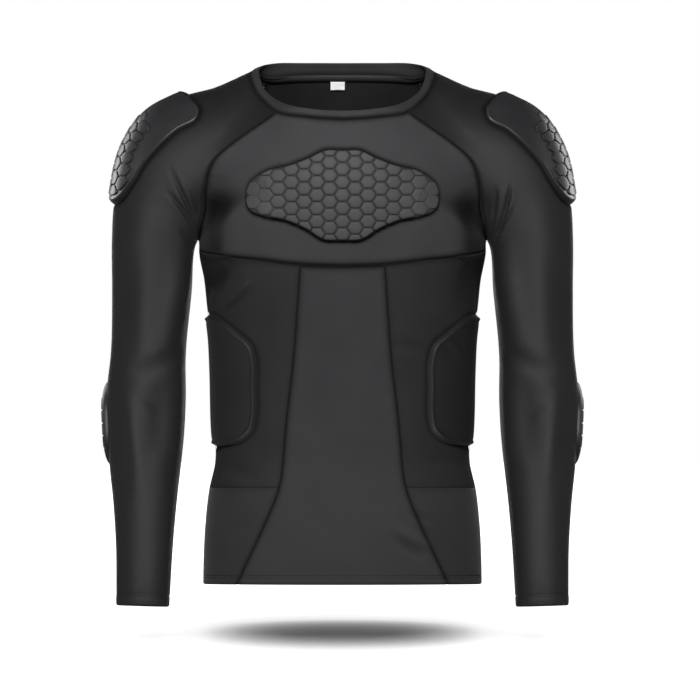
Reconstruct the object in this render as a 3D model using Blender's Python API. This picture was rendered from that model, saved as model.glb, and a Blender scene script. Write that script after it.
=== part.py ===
"""Long-sleeved compression shirt with armour pads, in the hollow form that it has when worn.

Sizes are millimetres until a mesh is made, in metres. X points to the viewer's right, -Y is the
front and Z is up. The origin lies between the shoulders, at the height of the shoulder line.

The cloth follows one smooth figure: a torso of rounded sections joined to two arm tubes. Each panel
is a grid of places on that figure, cast out to its surface, and the pads are flat patterns laid on it.
"""

import math

import bpy
import numpy as np
from mathutils import Vector
from mathutils.geometry import delaunay_2d_cdt

for old_object in list(bpy.data.objects):
    bpy.data.objects.remove(old_object, do_unlink=True)

METRE = 0.001
MIRROR = np.array([-1.0, 1.0, 1.0])

# Cloth and seams
CLOTH = 1.6
BAND_CLOTH = 2.0
SEAM_HALF_GAP = 0.15

# Heights of the garment's main lines
ARMPIT_X = 181.6
SIDE_ANGLE = math.radians(91.2)
UNDERARM_Z = -202.0
WAIST_SEAM_Z = -497.0
HEM_Z = -616.0

# Torso sections: height, half width, depth to the front, depth to the back
TORSO = (
    (-640, 174.0, 114, 108),
    (-590, 173.5, 114, 109),
    (-540, 171.0, 112, 108),
    (-500, 166.5, 109, 105),
    (-462, 158.5, 106, 103),
    (-425, 159.5, 106, 103),
    (-350, 160.5, 108, 106),
    (-312, 163.0, 111, 108),
    (-275, 168.5, 114, 110),
    (-238, 172.5, 117, 112),
    (-200, 179.0, 119, 114),
    (-170, 175.5, 120, 115),
    (-140, 169.5, 119, 116),
    (-110, 161.0, 115, 116),
    (-80, 150.0, 107, 113),
    (-50, 131.0, 97, 103),
    (-25, 115.0, 88, 92),
    (0, 103.0, 79, 82),
    (30, 95.0, 71, 72),
    (60, 92.0, 68, 68),
)
TORSO_SQUARENESS = 2.35

# How rays are walked to the figure: share of the distance taken, steps, and where they start
STRIDE = 0.9
RAY_STEPS = 60
RAY_START = 5.0
VIEW_START = 200.0
SETTLE_STEPS = 8
FOLD_STEPS = 20
CURVE_FINENESS = 40
LOOP_LEAD = 3
MERGE_DISTANCE = 0.01

# Arm sections from the neck to the cuff: axis x, y, z, then reach to the outside, inside, front, back
ARM = (
    (39, 17, -21, 70, 45, 46, 40),
    (84, 16, -43, 73, 50, 60, 52),
    (129, 13, -64, 74, 52, 66, 57),
    (174, 9, -86, 83, 55, 66, 60),
    (194, 7, -99, 84, 57, 64, 60),
    (210, 6, -114, 75, 58, 62, 60),
    (229, 5, -147, 58, 62, 57, 58),
    (236, 5, -185, 52.5, 53.3, 54, 55),
    (238.5, 7, -250, 49.7, 49.7, 51, 51),
    (243, 9, -331, 46.8, 46.8, 48, 47),
    (245.7, 10, -385, 49.5, 49.5, 47, 46),
    (246, 9, -425, 48.0, 48.0, 46, 46),
    (246.7, 5, -462, 45.2, 45.2, 44, 44),
    (247, -5, -519, 39.2, 39.2, 39, 39),
    (247.7, -16, -575, 35.2, 35.2, 34, 34),
    (248.7, -22.5, -616, 33.8, 33.8, 32.1, 32.1),
    (249.5, -23.3, -643.3, 33.0, 33.0, 31, 31),
)

# How widely the arm flows into the torso: height, width
BLEND = ((-195, 6), (-185, 8), (-165, 20), (-125, 36), (-80, 40), (-30, 24), (10, 12), (40, 10))

# Seams as the front view shows them: distance from the centre line, height
RAGLAN_FRONT = ((132, -62.5), (163, -91), (172, -122))
RAGLAN_BACK = ((126, -38), (158, -84), (172, -122))
CENTRE_SEAM = ((52.5, -219), (60, -325), (67, -388), (73, -450), (80, -500), (97, -542), (131, -616))

# Heights where the raglan seams lie in the fold between torso and arm
FOLD_HEIGHTS = (-150.0, -173.0)

# The under-chest seam: angle round the torso from the front in degrees, height
UNDER_CHEST = ((0, -221), (25, -219), (49, -212), (90, -202))

# The neck from front to back: turn in degrees, then the seam's x, y, z and the opening's x, y, z
NECK = (
    (0, 0, -91, -37, 0, -84, -26.6),
    (25, 41, -86, -34.5, 35, -80, -24.6),
    (50, 81, -68, -27.5, 74, -61, -16.5),
    (70, 104, -38, -6, 96, -35, -1),
    (90, 113, -7, 14, 104, -7, 20),
    (110, 110, 24, 23, 102, 23, 30),
    (130, 91, 50, 21, 85, 48, 34),
    (155, 47, 68, 20.5, 43, 64, 35),
    (180, 0, 73, 20.5, 0, 69, 35),
)
RAGLAN_FRONT_TURN = 50.0
RAGLAN_BACK_TURN = 130.0
BAND_SWELL = 1.2

# Main folds: ends as x, z in the front view, width, height (a trough is below nought)
FOLDS = (
    (-216, -98, -186, -152, 6.5, -2.6),
    (-220, -129, -186, -176, 6.0, -2.4),
    (210, -120, 190, -184, 6.0, -2.4),
    (192, -122, 184, -186, 5.0, -1.8),
    (208, -150, 191, -190, 5.0, -1.8),
    (-141, -272, -116, -241, 7.0, 2.6),
    (-158, -262, -128, -232, 9.0, -2.4),
    (76, -552, 106, -568, 9.0, 2.6),
)

# Grid divisions
SIDE_COLUMNS = 9
CENTRE_COLUMNS = 6
BACK_COLUMNS = 16
RAGLAN_ROWS = 9
SLEEVE_NECK_COLUMNS = 6
UPPER_ROWS = 11
LOWER_ROWS = 4
CAP_ROWS = 10
ARM_ROWS = 8
CAP_SHARE = 0.4

# Hexagon cells, points to left and right: column and row spacing, the share that stays flat on top
CELL_COLUMN = 15.8
CELL_ROW = 16.1
CELL_TOP_SHARE = 0.84
CELL_LEAST_SHARE = 0.35

# Pads. Outlines are halves in the front view: distance from the centre line, height
CHEST_PAD = (
    (0, -76), (21, -76), (43, -86), (64, -94), (94, -102), (116, -119), (121, -134),
    (114, -152), (99, -159), (71, -165), (47, -175), (23, -189), (0, -190),
)
SHOULDER_PAD = (
    (184, -15), (177, -24), (179, -34), (207, -53), (230, -74), (246, -93), (262, -120), (275, -139),
    (284, -144),
)
SHOULDER_PAD_ENDS = ((197, -6), (287, -143))
RIB_PAD = (
    (152, -286), (130, -303), (112, -320), (107, -338), (106.5, -370), (106.5, -405), (111, -426),
    (123, -438), (147, -444),
)
RIB_PAD_TOP_Z = -281.0
RIB_PAD_LOW_Z = -445.0
ELBOW_CENTRE = (246.0, 9.0, -416.0)
ELBOW_OUTLINE_POINTS = 16
ELBOW_PAD_TURN = -60.0
ELBOW_PAD_HALF_HEIGHT = 58.0
ELBOW_PAD_HALF_WIDTH = 57.0
ELBOW_PAD_SQUARENESS = 2.5

# Rims from the edge inwards: distance in, height
CHEST_RIM = ((0, 1.6), (3.5, 3.0))
SHOULDER_RIM = ((0, 2.4), (3.5, 5.2), (8.5, 4.8))
RIB_RIM = ((0, 1.6), (4.5, 4.4), (10, 5.4))
ELBOW_RIM = ((0, 1.8), (3.5, 4.0), (7.5, 3.8))

# Cells on a pad: height over the floor between them, scale of their spacing
CHEST_CELLS = (1.7, 1.0)
SHOULDER_CELLS = (2.4, 1.15)
ELBOW_CELLS = (1.9, 1.0)

# How the pads lie: gap to the cloth, and the round form that a flat pattern is wrapped on
TORSO_PAD_GAP = 0.7
ARM_PAD_GAP = 1.2
SHOULDER_CENTRE = (195.0, 5.0, -95.0)
SHOULDER_RADIUS = 90.0
ELBOW_PAD_RADIUS = 48.0
RIB_PAD_RADIUS = 150.0
PAD_EDGE_POINTS = 40

# Spacing of the points under each pad, across and up: closer where the cloth bends more
CHEST_SPACING = (11.0, 26.0)
SHOULDER_SPACING = (11.0, 13.0)
RIB_SPACING = (11.0, 27.0)
ELBOW_SPACING = (11.0, 20.0)

# The label sewn inside the back of the neck
LABEL_X = -6.2
LABEL_WIDTH = 18.0
LABEL_TOP_Z = 12.0
LABEL_HEIGHT = 10.0
LABEL_CLOTH = 1.0
LABEL_GAP = 0.6
LABEL_COLUMNS = 3
LABEL_ROWS = 2

GLOSSY_ROUGHNESS = 0.4
CLOTH_ROUGHNESS = 0.6

COLOURS = {
    "chest": (0.060, 0.060, 0.063),
    "centre": (0.042, 0.042, 0.045),
    "side": (0.024, 0.024, 0.026),
    "sleeve": (0.030, 0.030, 0.032),
    "band": (0.050, 0.050, 0.053),
    "cells": (0.075, 0.075, 0.078),
    "rib": (0.016, 0.016, 0.018),
    "label": (0.85, 0.85, 0.85),
}


def smooth(table, at):
    """Cubic curve through a table: the first column is the place, the others are the values there."""
    rows = np.asarray(table, float)
    place = rows[:, 0]
    values = rows[:, 1:]
    slope = np.gradient(values, place, axis=0)
    at = np.clip(np.asarray(at, float), place[0], place[-1])
    i = np.clip(np.searchsorted(place, at, side="right") - 1, 0, len(place) - 2)
    step = (place[i + 1] - place[i])[..., None]
    t = (at - place[i])[..., None] / step
    keep = (1 + 2 * t) * (1 - t) ** 2
    leave = t * (1 - t) ** 2 * step
    arrive = t * t * (t - 1) * step
    return keep * values[i] + (1 - keep) * values[i + 1] + leave * slope[i] + arrive * slope[i + 1]


def unit(vectors):
    return vectors / np.maximum(np.linalg.norm(vectors, axis=-1, keepdims=True), 1e-9)


def chord_table(points):
    """Points with the length walked along their chords put in front, ready for smooth()."""
    points = np.asarray(points, float)
    steps = np.linalg.norm(np.diff(points, axis=0), axis=1)
    walked = np.concatenate(([0.0], np.cumsum(steps)))
    return np.column_stack((walked, points))


def resample(points, count):
    """Even steps along a smooth curve through the points."""
    table = chord_table(points)
    fine = smooth(table, np.linspace(0, table[-1, 0], CURVE_FINENESS * count))
    walk = chord_table(fine)
    at = np.linspace(0, walk[-1, 0], count)
    return np.column_stack([np.interp(at, walk[:, 0], walk[:, k]) for k in range(1, walk.shape[1])])


class ArmAxis:
    """The line that an arm's sections stand on, from the neck to the cuff, on the +X side."""

    samples = 260

    def __init__(self):
        axis_points = np.asarray(ARM, float)[:, :3]
        walked = chord_table(axis_points)[:, 0]
        table = np.column_stack((walked, np.asarray(ARM, float)))
        dense = smooth(table, np.linspace(0, walked[-1], self.samples))
        self.centre = dense[:, :3]
        self.reach = dense[:, 3:]
        self.station = chord_table(self.centre)[:, 0]
        self.along = unit(np.gradient(self.centre, self.station, axis=0))
        out = np.column_stack((-self.along[:, 2], np.zeros(self.samples), self.along[:, 0]))
        self.out = unit(out)
        self.front = unit(np.cross(self.along, self.out))

    def read(self, values, station):
        parts = [np.interp(station, self.station, values[:, k]) for k in range(values.shape[1])]
        return np.stack(parts, axis=-1)

    def station_of(self, points):
        """Station of the axis point nearest to each point."""
        away = points[:, None, :] - self.centre[None, :, :]
        nearest = np.argmin(np.einsum("ijk,ijk->ij", away, away), axis=1)
        ahead = np.einsum("ij,ij->i", points - self.centre[nearest], self.along[nearest])
        spacing = self.station[1] - self.station[0]
        return self.station[nearest] + np.clip(ahead, -spacing, spacing)

    def turn_of(self, points):
        """Station, turn in radians (0 at the outside, towards the front) and distance from the axis."""
        station = self.station_of(points)
        away = points - self.read(self.centre, station)
        outwards = np.einsum("ij,ij->i", away, unit(self.read(self.out, station)))
        forwards = np.einsum("ij,ij->i", away, unit(self.read(self.front, station)))
        return station, np.arctan2(forwards, outwards), np.hypot(outwards, forwards)

    def level(self, points):
        """Distance of each point outside the arm's wall, below nought inside."""
        station, turn, distance = self.turn_of(points)
        reach = self.read(self.reach, station)
        across = np.where(np.cos(turn) > 0, reach[:, 0], reach[:, 1])
        deep = np.where(np.sin(turn) > 0, reach[:, 2], reach[:, 3])
        return distance - 1.0 / np.hypot(np.cos(turn) / across, np.sin(turn) / deep)


ARM_AXIS = ArmAxis()
CUFF_STATION = ARM_AXIS.station[-1]


def torso_level(points):
    """Distance of each point outside the torso's wall, measured level from the middle line."""
    sections = smooth(TORSO, points[:, 2])
    depth = np.where(points[:, 1] < 0, sections[:, 1], sections[:, 2])
    share = (np.abs(points[:, 0]) / sections[:, 0]) ** TORSO_SQUARENESS
    share = share + (np.abs(points[:, 1]) / depth) ** TORSO_SQUARENESS
    away = np.hypot(points[:, 0], points[:, 1])
    return away - away * np.maximum(share, 1e-9) ** (-1 / TORSO_SQUARENESS)


def figure_level(points):
    """The torso and the arm joined by a soft minimum, the same on both sides."""
    mirrored = np.column_stack((np.abs(points[:, 0]), points[:, 1:]))
    torso = torso_level(mirrored)
    arm = ARM_AXIS.level(mirrored)
    blend = smooth(BLEND, points[:, 2])[:, 0]
    shared = np.maximum(blend - np.abs(torso - arm), 0) / blend
    return np.minimum(torso, arm) - shared * shared * blend / 4


def cast(starts, directions, towards=1.0):
    """Where each ray leaves the figure (towards 1) or enters it (-1), walked by the distance left."""
    points = np.array(starts, float)
    for _ in range(RAY_STEPS):
        points = points - directions * (figure_level(points) * STRIDE * towards)[:, None]
    return points


def normals(points, step=0.6):
    """Outward direction of the figure's surface."""
    parts = []
    for axis in np.eye(3):
        rise = figure_level(points + axis * step) - figure_level(points - axis * step)
        parts.append(rise)
    return unit(np.stack(parts, axis=-1))


def fold_height(points):
    """Height of the soft folds on the front, each a ridge or trough that dies away at its ends."""
    height = np.zeros(len(points))
    for x0, z0, x1, z1, width, rise in FOLDS:
        start = np.array([x0, z0])
        line = np.array([x1 - x0, z1 - z0])
        away = points[:, [0, 2]] - start
        along = away @ line / (line @ line)
        across = np.abs(away @ np.array([-line[1], line[0]])) / np.linalg.norm(line)
        body = np.clip(1 - (2 * along - 1) ** 2, 0, 1)
        height += rise * body * np.exp(-((across / width) ** 2)) * (points[:, 1] < 0)
    return height


def around(angle, z):
    """Places on the torso at an angle from the front (radians, towards +X) and a height."""
    angle, z = np.broadcast_arrays(np.asarray(angle, float), np.asarray(z, float))
    starts = np.column_stack((np.zeros(angle.size), np.zeros(angle.size), z.ravel()))
    ways = np.column_stack((np.sin(angle.ravel()), -np.cos(angle.ravel()), np.zeros(angle.size)))
    return cast(starts + ways * RAY_START, ways)


def on_arm(station, turn):
    """Places on the +X arm at a station of its axis and a turn about it."""
    station, turn = np.broadcast_arrays(np.asarray(station, float), np.asarray(turn, float))
    station = station.ravel()
    turn = turn.ravel()
    out = unit(ARM_AXIS.read(ARM_AXIS.out, station))
    front = unit(ARM_AXIS.read(ARM_AXIS.front, station))
    ways = out * np.cos(turn)[:, None] + front * np.sin(turn)[:, None]
    return cast(ARM_AXIS.read(ARM_AXIS.centre, station), ways)


def seen(rows, side=-1.0):
    """Places seen in the front view (side -1) or from behind (side +1) at each x and z."""
    rows = np.asarray(rows, float)
    starts = np.column_stack((rows[:, 0], np.full(len(rows), side * VIEW_START), rows[:, 1]))
    ways = np.tile([0.0, -side, 0.0], (len(rows), 1))
    return cast(starts, ways, -1.0)


def angle_of(points):
    return np.arctan2(points[:, 0], -points[:, 1])


def neck_places(turns):
    """Seam and opening of the neck at turns in degrees from the front, on the side their sign gives."""
    rows = smooth(NECK, np.abs(turns))
    rows[:, [0, 3]] *= np.sign(turns)[:, None]
    return settle(rows[:, :3]), rows[:, 3:]


def mesh_object(name, points, faces, colour, flip=False):
    """A named object with its own material, from points in millimetres."""
    if flip:
        faces = [tuple(reversed(face)) for face in faces]
    mesh = bpy.data.meshes.new(name)
    mesh.from_pydata((np.asarray(points) * METRE).tolist(), [], faces)
    mesh.validate()
    mesh.shade_smooth()
    material = bpy.data.materials.new(name)
    material.use_nodes = True
    shader = material.node_tree.nodes["Principled BSDF"]
    shader.inputs["Base Color"].default_value = (*COLOURS[colour], 1.0)
    shader.inputs["Roughness"].default_value = GLOSSY_ROUGHNESS if colour == "cells" else CLOTH_ROUGHNESS
    shader.inputs["Metallic"].default_value = 0.0
    mesh.materials.append(material)
    made = bpy.data.objects.new(name, mesh)
    bpy.context.scene.collection.objects.link(made)
    return made


def seam_edges(grid, closed):
    """The grid with its edges drawn in, so that neighbours stay a seam's width apart."""
    drawn = grid.copy()

    def draw(edge, inner):
        way = unit(np.gradient(edge, axis=0))
        inwards = inner - edge
        inwards = inwards - way * np.einsum("ij,ij->i", inwards, way)[:, None]
        return unit(inwards) * SEAM_HALF_GAP

    drawn[0] += draw(grid[0], grid[1])
    drawn[-1] += draw(grid[-1], grid[-2])
    if not closed:
        drawn[:, 0] += draw(grid[:, 0], grid[:, 1])
        drawn[:, -1] += draw(grid[:, -1], grid[:, -2])
    return drawn


def edge_faces(points, outer, inner):
    """Two triangles for each step along a wall's edge, split the shorter way so that neighbours agree."""
    faces = []
    for a, b, c, d in zip(outer[:-1], outer[1:], inner[1:], inner[:-1]):
        first = np.linalg.norm(points[a] - points[c])
        second = np.linalg.norm(points[b] - points[d])
        if first < second:
            faces.extend(((a, b, c), (a, c, d)))
        else:
            faces.extend(((b, c, d), (b, d, a)))
    return faces


def wall(name, outer, inner, colour, closed=False, flip=False):
    """A cloth wall between two grids of rows (downwards) and columns (to the right, seen from outside)."""
    rows, columns = outer.shape[:2]
    points = np.concatenate((outer.reshape(-1, 3), inner.reshape(-1, 3)))
    index = np.arange(rows * columns).reshape(rows, columns)
    if closed:
        index = np.concatenate((index, index[:, :1]), axis=1)
    back = index + rows * columns
    quads = (
        (index[:-1, :-1], index[1:, :-1], index[1:, 1:], index[:-1, 1:]),
        (back[:-1, :-1], back[:-1, 1:], back[1:, 1:], back[1:, :-1]),
    )
    faces = []
    for corners in quads:
        faces.extend(np.stack([corner.ravel() for corner in corners], axis=1).tolist())
    faces.extend(edge_faces(points, index[0], back[0]))
    faces.extend(edge_faces(points, index[-1, ::-1], back[-1, ::-1]))
    if not closed:
        faces.extend(edge_faces(points, index[::-1, 0], back[::-1, 0]))
        faces.extend(edge_faces(points, index[:, -1], back[:, -1]))
    return mesh_object(name, points, faces, colour, flip)


def cloth(name, grid, colour, closed=False, mirror=False):
    """A panel whose outer face is the grid with its folds, and whose wall stands inside it."""
    shape = grid.shape
    out = normals(grid.reshape(-1, 3)).reshape(shape)
    side = MIRROR if mirror else np.ones(3)
    outer = seam_edges(grid, closed) * side
    out = out * side
    outer = outer + out * fold_height(outer.reshape(-1, 3)).reshape(shape[:2])[..., None]
    return wall(name, outer, outer - out * CLOTH, colour, closed, mirror)


def patch(top, bottom, left, right):
    """Grid of places blended between four edges (rows from top to bottom, columns left to right)."""
    down = np.linspace(0, 1, len(left))[:, None, None]
    over = np.linspace(0, 1, len(top))[None, :, None]
    ruled = (1 - down) * top[None] + down * bottom[None]
    ruled = ruled + (1 - over) * left[:, None] + over * right[:, None]
    corners = (1 - down) * ((1 - over) * top[0] + over * top[-1])
    corners = corners + down * ((1 - over) * bottom[0] + over * bottom[-1])
    return ruled - corners


def panel(places):
    """A grid of points from a grid of angles and heights on the torso."""
    rows, columns = places.shape[:2]
    return around(places[..., 0], places[..., 1]).reshape(rows, columns, 3)


def places_of(points):
    return np.column_stack((angle_of(points), points[:, 2]))


def settle(points):
    """Points moved straight onto the figure's surface."""
    for _ in range(SETTLE_STEPS):
        points = points - normals(points) * figure_level(points)[:, None]
    return points


def find_armpit():
    """Highest point of the gap between torso and arm, half way between them."""
    point = np.array([[ARMPIT_X, -ARMPIT_X / math.tan(SIDE_ANGLE), UNDERARM_Z]])
    for _ in range(FOLD_STEPS):
        point = cast(point, np.array([[0.0, 0.0, 1.0]]), -1.0)
        point[0, 0] += (ARM_AXIS.level(point)[0] - torso_level(point)[0]) / 4
    return cast(point, np.array([[0.0, 0.0, 1.0]]), -1.0)


def fold_bottom(heights, side):
    """Places half way between torso and arm, in the fold in front of the armpit or behind it."""
    rows = np.column_stack((np.full(len(heights), ARMPIT_X), heights))
    for _ in range(FOLD_STEPS):
        points = seen(rows, side)
        rows[:, 0] += (ARM_AXIS.level(points) - torso_level(points)) / 4
    return seen(rows, side)


def raglan(rows, side, neck_point):
    """Seam from the neck to the armpit, in even steps."""
    course = np.concatenate((neck_point, seen(rows, side), fold_bottom(FOLD_HEIGHTS, side), ARMPIT))
    points = settle(resample(course, RAGLAN_ROWS + 1))
    points[0] = neck_point[0]
    points[-1] = ARMPIT[0]
    return points


def mirror_places(places):
    return places * np.array([-1.0, 1.0])


# Neck seam and raglan seams, shared by the panels that meet there
FRONT_TURNS = np.linspace(-RAGLAN_FRONT_TURN, RAGLAN_FRONT_TURN, 2 * SIDE_COLUMNS + CENTRE_COLUMNS + 1)
SLEEVE_TURNS = np.linspace(RAGLAN_FRONT_TURN, RAGLAN_BACK_TURN, SLEEVE_NECK_COLUMNS + 1)
BACK_TURNS = np.linspace(RAGLAN_BACK_TURN, 360 - RAGLAN_BACK_TURN, BACK_COLUMNS + 1)


def signed(turns):
    return np.where(turns > 180, turns - 360, turns)


ARMPIT = find_armpit()
FRONT_NECK = neck_places(FRONT_TURNS)[0]
SLEEVE_NECK = neck_places(SLEEVE_TURNS)[0]
BACK_NECK = neck_places(signed(BACK_TURNS))[0]
FRONT_RAGLAN = raglan(RAGLAN_FRONT, -1.0, SLEEVE_NECK[:1])
BACK_RAGLAN = raglan(RAGLAN_BACK, 1.0, SLEEVE_NECK[-1:])


def centre_seam(heights):
    """Angle of the centre panel's seam at each height."""
    shown = places_of(seen(CENTRE_SEAM))
    table = np.column_stack((shown[::-1, 1], shown[::-1, 0]))
    return smooth(table, heights)[..., 0]


def under_chest(angles):
    return smooth(UNDER_CHEST, np.degrees(np.abs(angles)))[..., 0]


UPPER_SIDE_Z = np.linspace(UNDERARM_Z, WAIST_SEAM_Z, UPPER_ROWS + 1)
LOWER_SIDE_Z = np.linspace(WAIST_SEAM_Z, HEM_Z, LOWER_ROWS + 1)
SEAM_TOP_ANGLE = centre_seam(np.array([CENTRE_SEAM[0][1]]))[0]
UPPER_SEAM_Z = np.linspace(under_chest(SEAM_TOP_ANGLE), WAIST_SEAM_Z, UPPER_ROWS + 1)
SEAM_ANGLES = centre_seam(np.concatenate((UPPER_SEAM_Z, LOWER_SIDE_Z[1:])))
SEAM_ANGLES[0] = SEAM_TOP_ANGLE
SIDE_TOP_ANGLES = np.linspace(SEAM_TOP_ANGLE, SIDE_ANGLE, SIDE_COLUMNS + 1)
CENTRE_TOP_ANGLES = np.linspace(-SEAM_TOP_ANGLE, SEAM_TOP_ANGLE, CENTRE_COLUMNS + 1)


def edge(angles, heights):
    angles, heights = np.broadcast_arrays(np.asarray(angles, float), np.asarray(heights, float))
    return np.column_stack((angles, heights))


def make_front_chest():
    side = np.concatenate((places_of(FRONT_RAGLAN), edge(SIDE_ANGLE, [UNDERARM_Z])))
    angles = np.concatenate((-SIDE_TOP_ANGLES[::-1], CENTRE_TOP_ANGLES[1:-1], SIDE_TOP_ANGLES))
    places = patch(places_of(FRONT_NECK), edge(angles, under_chest(angles)), mirror_places(side), side)
    grid = panel(places)
    grid[0] = FRONT_NECK
    grid[:RAGLAN_ROWS + 1, -1] = FRONT_RAGLAN
    grid[:RAGLAN_ROWS + 1, 0] = FRONT_RAGLAN * MIRROR
    cloth("front_chest", grid, "chest")


def make_front_centre():
    heights = np.concatenate((UPPER_SEAM_Z, LOWER_SIDE_Z[1:]))
    right = edge(SEAM_ANGLES, heights)
    top = edge(CENTRE_TOP_ANGLES, under_chest(CENTRE_TOP_ANGLES))
    bottom = edge(np.linspace(-SEAM_ANGLES[-1], SEAM_ANGLES[-1], CENTRE_COLUMNS + 1), HEM_Z)
    cloth("front_centre", panel(patch(top, bottom, mirror_places(right), right)), "centre")


def make_sides():
    """Front side panels above and below the waist seam."""
    waist = edge(np.linspace(SEAM_ANGLES[UPPER_ROWS], SIDE_ANGLE, SIDE_COLUMNS + 1), WAIST_SEAM_Z)
    hem = edge(np.linspace(SEAM_ANGLES[-1], SIDE_ANGLE, SIDE_COLUMNS + 1), HEM_Z)
    top = edge(SIDE_TOP_ANGLES, under_chest(SIDE_TOP_ANGLES))
    inner_upper = edge(SEAM_ANGLES[:UPPER_ROWS + 1], UPPER_SEAM_Z)
    inner_lower = edge(SEAM_ANGLES[UPPER_ROWS:], LOWER_SIDE_Z)
    upper = panel(patch(top, waist, inner_upper, edge(SIDE_ANGLE, UPPER_SIDE_Z)))
    lower = panel(patch(waist, hem, inner_lower, edge(SIDE_ANGLE, LOWER_SIDE_Z)))
    for name, mirror in (("R", False), ("L", True)):
        cloth("side_upper_" + name, upper, "side", mirror=mirror)
        cloth("side_lower_" + name, lower, "side", mirror=mirror)


def make_back():
    below = np.concatenate((UPPER_SIDE_Z, LOWER_SIDE_Z[1:]))
    left = np.concatenate((places_of(BACK_RAGLAN), edge(SIDE_ANGLE, below)))
    right = left * np.array([-1.0, 1.0]) + np.array([2 * math.pi, 0.0])
    top = places_of(BACK_NECK)
    top[:, 0] = np.mod(top[:, 0], 2 * math.pi)
    hem = edge(np.linspace(SIDE_ANGLE, 2 * math.pi - SIDE_ANGLE, BACK_COLUMNS + 1), HEM_Z)
    grid = panel(patch(top, hem, left, right))
    grid[0] = BACK_NECK
    grid[:RAGLAN_ROWS + 1, 0] = BACK_RAGLAN
    grid[:RAGLAN_ROWS + 1, -1] = BACK_RAGLAN * MIRROR
    cloth("back", grid, "side")


def sleeve_grid():
    """Columns run from the neck seam or the raglan seams down the arm to the cuff."""
    ring = np.concatenate((SLEEVE_NECK, BACK_RAGLAN[1:], FRONT_RAGLAN[-2:0:-1]))
    station, turn, _ = ARM_AXIS.turn_of(ring)
    turn = np.unwrap(turn)
    even = turn[0] - np.arange(len(ring)) * 2 * math.pi / len(ring)
    even += np.mean(turn - even)
    cap = np.linspace(0, CAP_SHARE, CAP_ROWS + 1)
    rest = np.linspace(CAP_SHARE, 1, ARM_ROWS + 1)
    share = np.concatenate((cap, rest[1:]))[:, None]
    stations = station[None] + (CUFF_STATION - station[None]) * share
    turns = turn[None] + (even - turn)[None] * np.clip(share / CAP_SHARE, 0, 1)
    grid = on_arm(stations, turns).reshape(len(share), len(ring), 3)
    grid[0] = ring
    return grid


def make_sleeves():
    grid = sleeve_grid()
    cloth("sleeve_R", grid, "sleeve", closed=True)
    cloth("sleeve_L", grid, "sleeve", closed=True, mirror=True)


def make_neckband():
    """A narrow band that stands on the neck seam and leans in to the opening."""
    turns = np.concatenate((FRONT_TURNS, SLEEVE_TURNS[1:], BACK_TURNS[1:], 360 - SLEEVE_TURNS[-2:0:-1]))
    seam, opening = neck_places(signed(turns))
    rise = unit(opening - seam)
    way = unit(np.roll(seam, -1, axis=0) - np.roll(seam, 1, axis=0))
    out_top = unit(np.cross(way, rise))
    out_low = normals(seam)
    middle = (seam + opening) / 2 + unit(out_top + out_low) * BAND_SWELL
    outer = np.stack((opening, middle, seam + rise * SEAM_HALF_GAP))
    out = np.stack((out_top, unit(out_top + out_low), out_low))
    wall("neckband", outer, outer - out * BAND_CLOTH, "band", closed=True)


def closed_outline(points, count):
    """Even steps round a smooth closed curve through the points."""
    points = np.asarray(points, float)
    looped = np.concatenate((points[-LOOP_LEAD:], points, points[:LOOP_LEAD + 1]))
    table = chord_table(looped)
    first = table[LOOP_LEAD, 0]
    last = table[LOOP_LEAD + len(points), 0]
    fine = smooth(table, np.linspace(first, last, CURVE_FINENESS * count))
    walk = chord_table(fine)
    at = np.linspace(0, walk[-1, 0], count, endpoint=False)
    return np.column_stack([np.interp(at, walk[:, 0], walk[:, k]) for k in (1, 2)])


def signed_area(loop):
    x, y = np.asarray(loop).T
    return 0.5 * np.sum(x * np.roll(y, -1) - np.roll(x, -1) * y)


def inset(loop, distance):
    """The loop moved inwards (it runs anticlockwise)."""
    way = unit(np.roll(loop, -1, axis=0) - np.roll(loop, 1, axis=0))
    return loop + np.column_stack((-way[:, 1], way[:, 0])) * distance


def clip_to_cell(loop, cell):
    """The part of a loop that lies inside one convex cell."""
    shape = [tuple(point) for point in loop]
    for a, b in zip(cell, np.roll(cell, -1, axis=0)):
        way = b - a
        kept = []
        for p, q in zip(shape, shape[1:] + shape[:1]):
            side_p = way[0] * (p[1] - a[1]) - way[1] * (p[0] - a[0])
            side_q = way[0] * (q[1] - a[1]) - way[1] * (q[0] - a[0])
            if side_p >= 0:
                kept.append(p)
            if side_p * side_q < 0:
                t = side_p / (side_p - side_q)
                kept.append((p[0] + (q[0] - p[0]) * t, p[1] + (q[1] - p[1]) * t))
        shape = kept
        if len(shape) < 3:
            return None
    return np.array(shape)


def hexagon_cells(field, middle, scale):
    """Hexagons on their even spacing, cut to the field."""
    spacing = np.array([CELL_COLUMN, CELL_ROW]) * scale
    corner = spacing[0] * 2 / 3
    half = spacing[1] / 2
    shape = np.array([(corner, 0), (corner / 2, half), (-corner / 2, half), (-corner, 0),
                      (-corner / 2, -half), (corner / 2, -half)])
    low = np.floor((field.min(axis=0) - middle) / spacing).astype(int) - 1
    high = np.ceil((field.max(axis=0) - middle) / spacing).astype(int) + 1
    cells = []
    for column in range(low[0], high[0] + 1):
        for row in range(low[1], high[1] + 1):
            shift = 0.5 * (column % 2)
            centre = middle + np.array([column, row + shift]) * spacing
            cut = clip_to_cell(field, centre + shape)
            if cut is not None and signed_area(cut) > CELL_LEAST_SHARE * spacing.prod():
                cells.append(cut)
    return cells


def inside(loop, points):
    """Which points lie inside a loop, by counting crossings to the right."""
    a = loop[None]
    b = np.roll(loop, -1, axis=0)[None]
    p = points[:, None]
    spans = (a[..., 1] > p[..., 1]) != (b[..., 1] > p[..., 1])
    rise = np.where(b[..., 1] == a[..., 1], 1.0, b[..., 1] - a[..., 1])
    cross = a[..., 0] + (p[..., 1] - a[..., 1]) * (b[..., 0] - a[..., 0]) / rise
    return np.sum(spans & (p[..., 0] < cross), axis=1) % 2 == 1


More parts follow.
